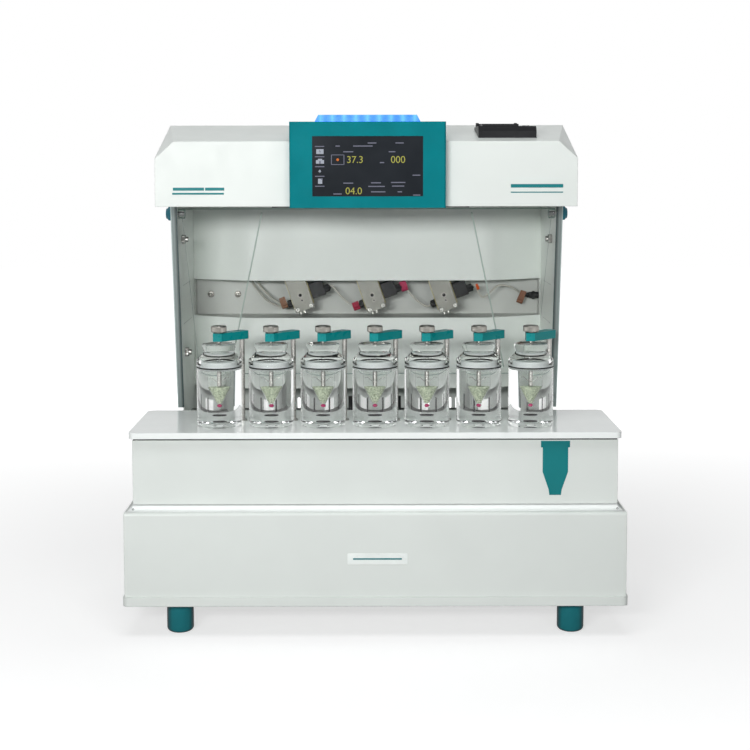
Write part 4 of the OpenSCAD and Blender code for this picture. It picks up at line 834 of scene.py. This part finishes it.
into = [[on_pump(i, u, tube_y, -9) for u in (-34, -24)] for i in range(3)]
out_of = [[on_pump(i, u, tube_y, -4) for u in (48, 54)] for i in range(3)]
for lift in (0.0, 4.6):
    up = Vector((1.5 * lift, -0.6 * lift, lift))
    hang([Vector((-206, bay_back + 0.5, 489)) + up, Vector((-199, 120, 476)) + up, Vector((-178, 103, 456)) + up,
          Vector((-158, 93, 447)) + up * 0.8, into[0][0] + up * 0.3, into[0][1]])
for i in (0, 1):
    middle = (out_of[i][1] + into[i + 1][0]) / 2 + Vector((0, 0, -4))
    hang([out_of[i][0], out_of[i][1], middle, into[i + 1][0], into[i + 1][1]])
hang([out_of[2][0], out_of[2][1], Vector((180, 92, 462)), Vector((205, 100, 480)), Vector((226, 98, 478)),
      tube_end + Vector((-14, 0, 4)), tube_end])
print("tube lengths in mm", tube_lengths)
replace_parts(tubes.piece("thin_tubes", "tubing", "tube_silicone", crease=60), "flow_tubes")

fittings = Shape()
ribbed = [(4.4, -0.2), (5.9, 0.2), (6.4, 0.8, 0.7), (6.4, 8.6, 0.7), (5.9, 9.4), (3.2, 9.6), (2.6, 11.4), (2.0, 11.6)]
for pump in pumps:
    fittings.add(turned(ribbed, 44), pump @ at(-14.6, tube_y, -9) @ spin(-90, "Y"))
    fittings.add(turned(ribbed, 44), pump @ at(39.4, tube_y, -4) @ spin(90, "Y"))
to_right = at(tube_end.x, tube_end.y, tube_end.z) @ spin(90, "Y")
fittings.add(turned([(2.2, -7), (3.0, -6.6), (3.2, -3.4), (4.6, -3.2), (4.6, -0.6), (3.8, 0.2)], 24), to_right)
fittings.add(turned([(6.4, 5.2), (6.9, 5.6), (6.9, 9.4), (6.4, 9.8)], 6), to_right)
bolt_x, bolt_z = (-275.1, -229.7), 464.3
for x in bolt_x:
    spot = at(x, bay_back - 0.05, bolt_z) @ to_viewer
    fittings.add(turned([(5.6, -0.4), (5.6, 0.5), (5.2, 0.8)], 32), spot, 1)
    fittings.add(turned([(4.7, 0.6), (4.7, 3.2), (4.0, 4.0), (2.8, 4.2)], 32), spot, 1)
    # The bolt's socket is painted near black as shade.
    fittings.add(turned([(2.9, 3.4), (2.9, 4.25), (1.6, 4.25), (1.4, 3.6)], 6), spot, 2)
fittings.piece("bay_fittings", "black_plastic", "black_moulding", "knob_steel", "recess_shade_black")
tag("tag_umber", tone(132, 92, 72), at(tube_end.x - 15, tube_end.y - 2.4, tube_end.z - 9)
    @ spin(22, "Y"), 11, 18)
print("tube ends at", [round(v) for v in tube_end], "bay back", round(bay_back, 1))

# %% [markdown]
# The splash guard. The frame's sheet ends at the shaft; seen from the front its upper edge would draw a line that
# a real guard hides behind the hood. This sheet runs a little further up, has soft corners, and carries the two
# ribs and the bosses of the frame's guard at their places. It is clear with slightly green sawn edges.

# %% Splash guard
low, high = box_mm("splash_guard")
hub_low, hub_high = box_mm("guard_knob_left")
hub = Vector(((low.x + high.x) / 2, (hub_low.y + hub_high.y) / 2, (hub_low.z + hub_high.z) / 2))
face_way = Vector(guard_way) if guard_way[1] < 0 else -Vector(guard_way)
rise_way = face_way.cross(Vector((1, 0, 0)))
rise_way = rise_way if rise_way.z > 0 else -rise_way
hung = at(*hub) @ Matrix((Vector((1, 0, 0)), -face_way, rise_way)).transposed().to_4x4()
drop = (hub.z - low.z) / rise_way.z - 1.5
top_half, foot_half, sheet_t = (high.x - low.x) / 2 - 5, 274.0, 4.0
guard = Shape()
guard.add(cut_out([(-top_half, 8), (-foot_half - 0.6, 6 - drop), (-foot_half + 6, -drop), (foot_half - 6, -drop),
                   (foot_half + 0.6, 6 - drop), (top_half, 8)], sheet_t), hung @ at(0, sheet_t / 2, 0))
rib_top, rib_foot = 161, 226
slant = math.atan2(rib_foot - rib_top, drop)
for side in (-1, 1):
    guard.add(block((-1.1, -2.0, 8 - drop), (1.1, 0.05, 3), 0.4), hung @ at(side * rib_top, -sheet_t / 2, 0)
              @ Matrix.Rotation(-side * slant, 4, "Y"), 1)
    guard.add(turned([(3.1, 0), (7.6, 0), (8, 0.4), (8, 9.6), (7.6, 10), (3.1, 10)], 40),
              at(hub.x + side * (high.x - low.x) / 2, hub.y, hub.z) @ spin(-side * 90, "Y"))
# The ribs are opaque pale green-white: the tint of a sawn clear edge, brightened into a painted highlight of that lit
# edge.
moulded("guard_rib", tone(186, 200, 192), (0.3, 0.45), 0.03, shine=0.3)
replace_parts(guard.piece("guard_sheet", "clear_panel", "guard_sheet", "guard_rib"), "splash_guard")
print("guard hangs", round(drop), "mm from", [round(v) for v in hub])

# %% [markdown]
# The page on the display. Thin flat pieces stand just in front of the glass and glow a little, as lit pixels do.
# Places are written as fractions of the screen, from its upper left corner. Only plain figures are set as type;
# every caption is a dim bar of about its length, and the buttons at the left are pale squares with simple marks.

# %% Display page
def lit(name, colour, strength=0.55):
    pixel = Finish(name)
    grain = pixel.between(pixel.noise(900, 2), 0.0, 1.0)
    pixel.set(Base_Color=pixel.mixed(grain, lighter(colour, 0.30), lighter(colour, 0.36)))
    pixel.set(Emission_Color=pixel.mixed(grain, lighter(colour, 0.92), colour))
    pixel.set(Emission_Strength=strength, Roughness=0.5, Specular_IOR_Level=0.1)


def figures(text, height):
    """Plain figures as a thin form in the XZ plane, their lower left corner at the origin."""
    curve = bpy.data.curves.new("figures", "FONT")
    curve.body, curve.size, curve.extrude = text, 1.0, 0.0
    holder = bpy.data.objects.new("figures", curve)
    bpy.context.collection.objects.link(holder)
    bpy.context.view_layer.update()
    flat = holder.evaluated_get(bpy.context.evaluated_depsgraph_get()).to_mesh()
    spots = [v.co.copy() for v in flat.vertices]
    faces = [tuple(f.vertices) for f in flat.polygons]
    left, low = min(p.x for p in spots), min(p.y for p in spots)
    k = height / (max(p.y for p in spots) - low)
    bpy.data.objects.remove(holder)
    bpy.data.curves.remove(curve)
    return [((p.x - left) * k, 0, (p.y - low) * k) for p in spots], faces


lit("page_yellow", tone(176, 174, 84))
lit("page_grey", tone(120, 122, 138))
lit("page_pale", tone(176, 182, 194))
lit("page_orange", tone(222, 120, 50))
glass_low, glass_high = box_mm("display_screen")
page_w, page_h = glass_high.x - glass_low.x, glass_high.z - glass_low.z


def on_page(u, v):
    return at(glass_low.x + u * page_w, glass_low.y - 0.12, glass_high.z - v * page_h)


def page_patch(u0, v0, u1, v1, depth=0.24):
    corner = on_page(u0, v1).translation
    far = on_page(u1, v0).translation
    return block((corner.x, corner.y - depth / 2, corner.z), (far.x, corner.y + depth / 2, far.z), 0.08, 1)


page = Shape()
for text, u, v in (("37.3", 0.315, 0.445), ("000", 0.71, 0.445), ("04.0", 0.30, 0.965)):
    page.add(figures(text, page_h * 0.115), on_page(u, v))
captions = ((0.21, 0.155, 0.25), (0.37, 0.155, 0.545), (0.28, 0.25, 0.37), (0.69, 0.25, 0.75), (0.50, 0.105, 0.58),
            (0.75, 0.105, 0.825), (0.61, 0.43, 0.65), (0.28, 0.77, 0.37), (0.53, 0.765, 0.62), (0.71, 0.76, 0.84),
            (0.505, 0.825, 0.655), (0.72, 0.82, 0.83), (0.53, 0.915, 0.66), (0.77, 0.915, 0.81), (0.19, 0.95, 0.265),
            (0.91, 0.97, 0.975), (0.905, 0.64, 0.975))
marks = [(u0, v, u1, v + 0.018, 1) for u0, v, u1 in captions]
marks += [(0.025, v - 0.008, 0.11, v + 0.008, 1) for v in (0.17, 0.34, 0.505, 0.665, 0.83)]
marks += [(0.037, 0.215, 0.103, 0.295, 2), (0.034, 0.395, 0.107, 0.455, 2), (0.052, 0.375, 0.09, 0.4, 2),
          (0.062, 0.41, 0.078, 0.457, 1, 0.34), (0.052, 0.705, 0.09, 0.79, 2), (0.08, 0.70, 0.093, 0.725, 1, 0.34),
          (0.17, 0.305, 0.29, 0.316, 1), (0.17, 0.465, 0.29, 0.476, 1), (0.17, 0.305, 0.177, 0.476, 1),
          (0.283, 0.305, 0.29, 0.476, 1)]
for u0, v0, u1, v1, colour, *depth in marks:
    page.add(page_patch(u0, v0, u1, v1, *depth), mark=colour)
bolt = [(0, 4), (-2, -0.4), (0, 0.2), (-0.4, -4), (2, 0.8), (0.1, 0.6)]
page.add(cut_out([(x * 0.7, z * 0.7) for x, z in bolt], 0.1), on_page(0.07, 0.255) @ at(0, -0.1, 0), 1)
page.add(turned([(2.1, -0.1), (2.1, 0.1), (1.1, 0.12), (1.1, -0.1)], 4), on_page(0.068, 0.58) @ to_viewer, 2)
page.add(turned([(1.9, -0.15), (1.9, 0.15), (1.3, 0.2)], 20), on_page(0.23, 0.39) @ to_viewer, 3)
page.piece("display_page", "screen", "page_yellow", "page_grey", "page_pale", "page_orange")
print("page", round(page_w), "by", round(page_h), "mm with", len(captions), "captions")

# %% [markdown]
# Prints and plates. The places of the lettering stay bare: a plate with a stripe on the base, and stripes in the
# place of two captions on the hood. The teal sign on the base shows the outline of a cell, a plain drawing of
# what the machine holds. Prints are films a fifth of a millimetre thick that lie on the coat.

# %% Prints and plates
moulded("print_teal", tone(24, 122, 126), (0.35, 0.5), 0.05, shine=0.15)
moulded("plate_white", tone(240, 245, 242), (0.25, 0.35), 0.03, shine=0.4)


def rounded(width, height, r, steps=5):
    """The outline of a rectangle with round corners, its middle at the origin."""
    outline = []
    for k, (sx, sz) in enumerate(((1, 1), (-1, 1), (-1, -1), (1, -1))):
        for j in range(steps + 1):
            a = math.pi / 2 * (k + j / steps)
            outline.append((sx * (width / 2 - r) + r * math.cos(a), sz * (height / 2 - r) + r * math.sin(a)))
    return outline


base_front = box_mm("base_shell")[0].y
upper_front = -230.0
hood_front = box_mm("hood_shell")[0].y
prints = Shape()
sign = [(20.9, 0), (20.9, -9.4), (18.3, -9.6), (18.3, -45), (9.4, -71), (8.4, -78.8)]
prints.add(cut_out(sign + [(-x, z) for x, z in sign[::-1]], 0.2), at(258.7, upper_front, 284.9))
prints.add(cut_out(rounded(86, 16, 1.5), 0.5), at(3, base_front, 118.1), 1)
prints.add(cut_out(rounded(70, 2.2, 0.6), 0.2), at(3, base_front - 0.5, 118.1))
for x, z, w, h in ((-263, 646, 44, 4.2), (-226, 646, 27, 4.2), (-249.5, 639.5, 73, 2.6), (229, 650, 74, 5.0),
                   (229, 641, 74, 1.6)):
    prints.add(cut_out(rounded(w, h, 0.5), 0.2), at(x, hood_front, z))
prints.piece("prints", "teal_plastic", "print_teal", "plate_white")
print("prints on Y", round(base_front, 1), round(upper_front, 1), round(hood_front, 1))

# %% [markdown]
# Where the upper box meets the ledge the sheet is folded with a wide inner radius, and that fold catches a bright
# line. The frame has a sharp corner there, so a fillet strip follows it round three sides; it wears a lighter copy
# of the white coat, a painted highlight for that bright line. A relief hole ends each fold at the front corners;
# its inside is painted near black as shade.

# %% Fold at the foot of the upper box
def fold_along(path, r, steps=8):
    """A strip with a hollow curve that fills the corner left of a level path."""
    angles = [math.pi / 2 * k / steps for k in range(steps, -1, -1)]
    section = [(0.0, 0.0)] + [(r * (1 - math.sin(a)), r * (1 - math.cos(a))) for a in angles]
    path = [Vector(p) for p in path]
    points = []
    for k, here in enumerate(path):
        ways = [(path[j + 1] - path[j]).normalized() for j in (k - 1, k) if 0 <= j < len(path) - 1]
        sides = [Vector((w.y, -w.x, 0)) for w in ways]
        out = sum(sides, Vector()).normalized()
        out = out / out.dot(sides[0])
        points += [here + out * u + Vector((0, 0, h)) for u, h in section]
    return points, ring_faces(points, len(section))


ledge_z, upper_half = 184.5, 348.5
fold = Shape().add(fold_along([(-upper_half, -60, ledge_z), (-upper_half, upper_front, ledge_z),
                               (upper_half, upper_front, ledge_z), (upper_half, -60, ledge_z)], 9))
# Each relief hole is a shallow cup painted near black as shade.
hole_lean = spin(48, "X")
for side in (-1, 1):
    fold.add(turned([(1.5, -0.6), (1.5, 0.25), (0.9, 0.25), (0.8, -0.3)], 16),
             at(side * (upper_half - 0.5), upper_front - 3, ledge_z + 2.3) @ hole_lean, 1)
fold.piece("ledge_fold", "white_paint", "fold_highlight_coat", "recess_shade_black", crease=50)
print("fold along", round(2 * upper_half), "mm")

# %% [markdown]
# The back panels. In the frame they bend in two sharp folds; the real sheets are rolled, so the light runs smoothly
# over them. The plan of the bend is read from the frame's own points and its corners are rounded. The rounding may
# fall back by less than the sheet's two millimetres, or the ceiling of the bay behind would show through.

# %% Rolled back panels
coat_sheet = 2.0


def rolled(node, reach=16.0, steps=12):
    """A sheet with the plan of a folded node, its folds rounded over the given reach."""
    points = [v.co / MM for v in nodes[node].data.vertices]
    foot, head = min(p.z for p in points), max(p.z for p in points)
    front = {}
    for p in points:
        x = round(p.x, 1)
        front[x] = min(front.get(x, p.y), p.y)
    places = [Vector((x, front[x])) for x in sorted(front)]
    plan = [places[0]]
    for before, corner, after in zip(places, places[1:], places[2:]):
        a = corner + (before - corner).normalized() * min(reach, (before - corner).length * 0.5)
        b = corner + (after - corner).normalized() * min(reach, (after - corner).length * 0.5)
        for t in (k / steps for k in range(steps + 1)):
            plan.append(a * (1 - t) ** 2 + corner * 2 * t * (1 - t) + b * t * t)
    plan.append(places[-1])
    n = len(plan)
    ring = [(p.x, p.y) for p in plan] + [(p.x, p.y + coat_sheet) for p in plan[::-1]]
    form = [(x, y, z) for z in (foot, head) for x, y in ring]
    ends = [(i, i + 1, 2 * n - 2 - i, 2 * n - 1 - i) for i in range(n - 1)]
    ends += [tuple(2 * n + i for i in face) for face in ends]
    print(node, "bends at", [(round(p.x), round(p.y)) for p in places])
    return form, ring_faces(form, 2 * n, foot=False, head=False) + ends


for node, name in (("upper_back_panel", "upper_sheet"), ("lower_back_panel", "lower_sheet")):
    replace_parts(Shape().add(rolled(node)).piece(name, "white_paint", "panel_lightened_coat"), node)

# %% [markdown]
# Small lines that an eye expects. A dark strip lies along the front edge of each tower wall, against the clear
# panels, a seam runs back along each wall at the upper and lower edge of the valve bay, and a green lens glows
# under the light bar. All are thin strips that lie on their sheet, so their places are read from the frame's own
# points.

# %% Dark edge strips, seams and the green lens
wall_points = [v.co / MM for v in nodes["tower_walls"].data.vertices]
crest = max(p.z for p in wall_points)
edge_top = min(p.y for p in wall_points if p.z > crest - 1)
deck_top, strip_top, mouth = 299, 619, (431.0, 492.0)
edge_foot = min(p.y for p in wall_points if p.z < deck_top - 9)
wall_low, wall_high = box_mm("tower_walls")
panel_y = box_mm("upper_back_panel")[0].y
lean_back = math.atan2(edge_top - edge_foot, crest - deck_top)
wall_lines = Shape()
# A dark strip along the front edge of each wall.
for wall_x in (wall_low.x, wall_high.x - 2):
    wall_lines.add(block((wall_x - 0.1, -0.8, 0.4), (wall_x + 2.1, 0.1, (strip_top - deck_top) / math.cos(lean_back)), 0.2),
              at(0, edge_foot, deck_top) @ Matrix.Rotation(-lean_back, 4, "X"))
for inner_x, way in ((wall_low.x + 2, 1), (wall_high.x - 2, -1)):
    for z in mouth:
        wall_lines.add(block((min(inner_x, inner_x + way * 0.15), edge_foot + 4, z - 0.35),
                        (max(inner_x, inner_x + way * 0.15), panel_y + 6, z + 0.35), 0.05, 1), mark=1)
moulded("dark_edge_strip", tone(70, 84, 84), (0.4, 0.55), 0.05)
moulded("seam_grey", tone(176, 180, 177), (0.5, 0.6), 0.05)
wall_lines.piece("wall_strips", "clear_panel", "dark_edge_strip", "seam_grey")
bar_low = box_mm("light_bar")[0]
lit("lens_green", tone(120, 176, 124), 0.4)
Shape().add(block((-31, bar_low.y - 0.3, bar_low.z - 0.2), (8.5, bar_low.y + 1.5, bar_low.z + 1.2), 0.3)).piece(
    "green_lens", "screen", "lens_green")
print("wall edge from", round(edge_foot), "to", round(edge_top), "bar", [round(v) for v in bar_low])

# %% [markdown]
# The stage. A plain pale floor carries the shadow, and the world is white wherever the camera, a reflection or
# glass looks at it, but gives only a quiet grey light to the surfaces themselves. The floor glows by the same
# rule, more with distance, so that it runs into the white without a horizon.

# %% Floor and world
def seen_by_eye(tree):
    """1 for camera, mirror and glass rays, 0 for the rays that light matt surfaces."""
    path = tree.add("ShaderNodeLightPath").outputs
    camera_or_mirror = tree.maths("MAXIMUM", path["Is Camera Ray"], path["Is Glossy Ray"])
    return tree.maths("MAXIMUM", camera_or_mirror, path["Is Transmission Ray"])


world = bpy.data.worlds.new("studio")
bpy.context.scene.world = world
world.use_nodes = True
sky = Nodes(world.node_tree)
soft_light = sky.add("ShaderNodeBackground", {"Color": (0.97, 0.99, 1.0, 1), "Strength": 0.12})
white_paper = sky.add("ShaderNodeBackground", {"Color": (1, 1, 1, 1), "Strength": 1.0})
shown = sky.either(seen_by_eye(sky), soft_light.outputs[0], white_paper.outputs[0])
sky.add("ShaderNodeOutputWorld", {"Surface": shown})

floor_mesh = bpy.data.meshes.new("floor")
sheet = bmesh.new()
bmesh.ops.create_grid(sheet, x_segments=8, y_segments=8, size=7.0)
sheet.to_mesh(floor_mesh)
sheet.free()
floor = bpy.data.objects.new("floor", floor_mesh)
bpy.context.collection.objects.link(floor)
floor.location.z = -0.0005
paper = Finish("floor_paper")
distance = paper.add("ShaderNodeVectorMath", {0: paper.where}, operation="LENGTH").outputs["Value"]
glow_out = paper.between(distance, 0.62, 1.0, 0.5, 2.2)
paper.set(Base_Color=(0.50, 0.50, 0.50, 1), Roughness=0.9, Specular_IOR_Level=0.0, Emission_Color=(1, 1, 1, 1),
          Emission_Strength=paper.maths("MULTIPLY", glow_out, seen_by_eye(paper)))
floor_mesh.materials.append(paper.material)
print("floor and world ready")

# %% [markdown]
# Studio light. The shadow under the hood is short and dark, which means soft lamps nearly in front and only a
# little above eye level; the right end of the base is dimmer, so the strongest stands at the left. A wide panel
# overhead lights the roof and the deck. To find the powers of these, each was rendered alone: light adds up, so the
# share of each follows from a few levels in the picture. They keep a white coat just under white. The lamp behind
# is for views of the back; it stays low and narrow, hidden by the tower, or the deck and the roof would mirror it.

# %% Lamps
def softbox(name, place, aim, width, height, power, colour=(1, 1, 1)):
    light = bpy.data.lights.new(name, "AREA")
    light.shape = "RECTANGLE"
    light.size, light.size_y, light.energy, light.color = width, height, power, colour
    lamp = bpy.data.objects.new(name, light)
    bpy.context.collection.objects.link(lamp)
    lamp.location = place
    lamp.rotation_euler = (Vector(aim) - Vector(place)).to_track_quat("-Z", "Y").to_euler()


softbox("left_lamp", (-0.56, -2.1, 0.83), (0, 0, 0.45), 0.7, 0.18, 20.5)
softbox("right_lamp", (0.6, -2.1, 0.83), (0, 0, 0.45), 0.7, 0.18, 5.2)
softbox("top_panel", (-0.1, -1.15, 2.2), (0, -0.15, 0.4), 1.4, 0.8, 16.7, (0.97, 0.99, 1.0))
softbox("back_lamp", (-0.05, 2.2, 0.55), (0, 0.2, 0.45), 0.7, 0.4, 13)
print("lamps ready")
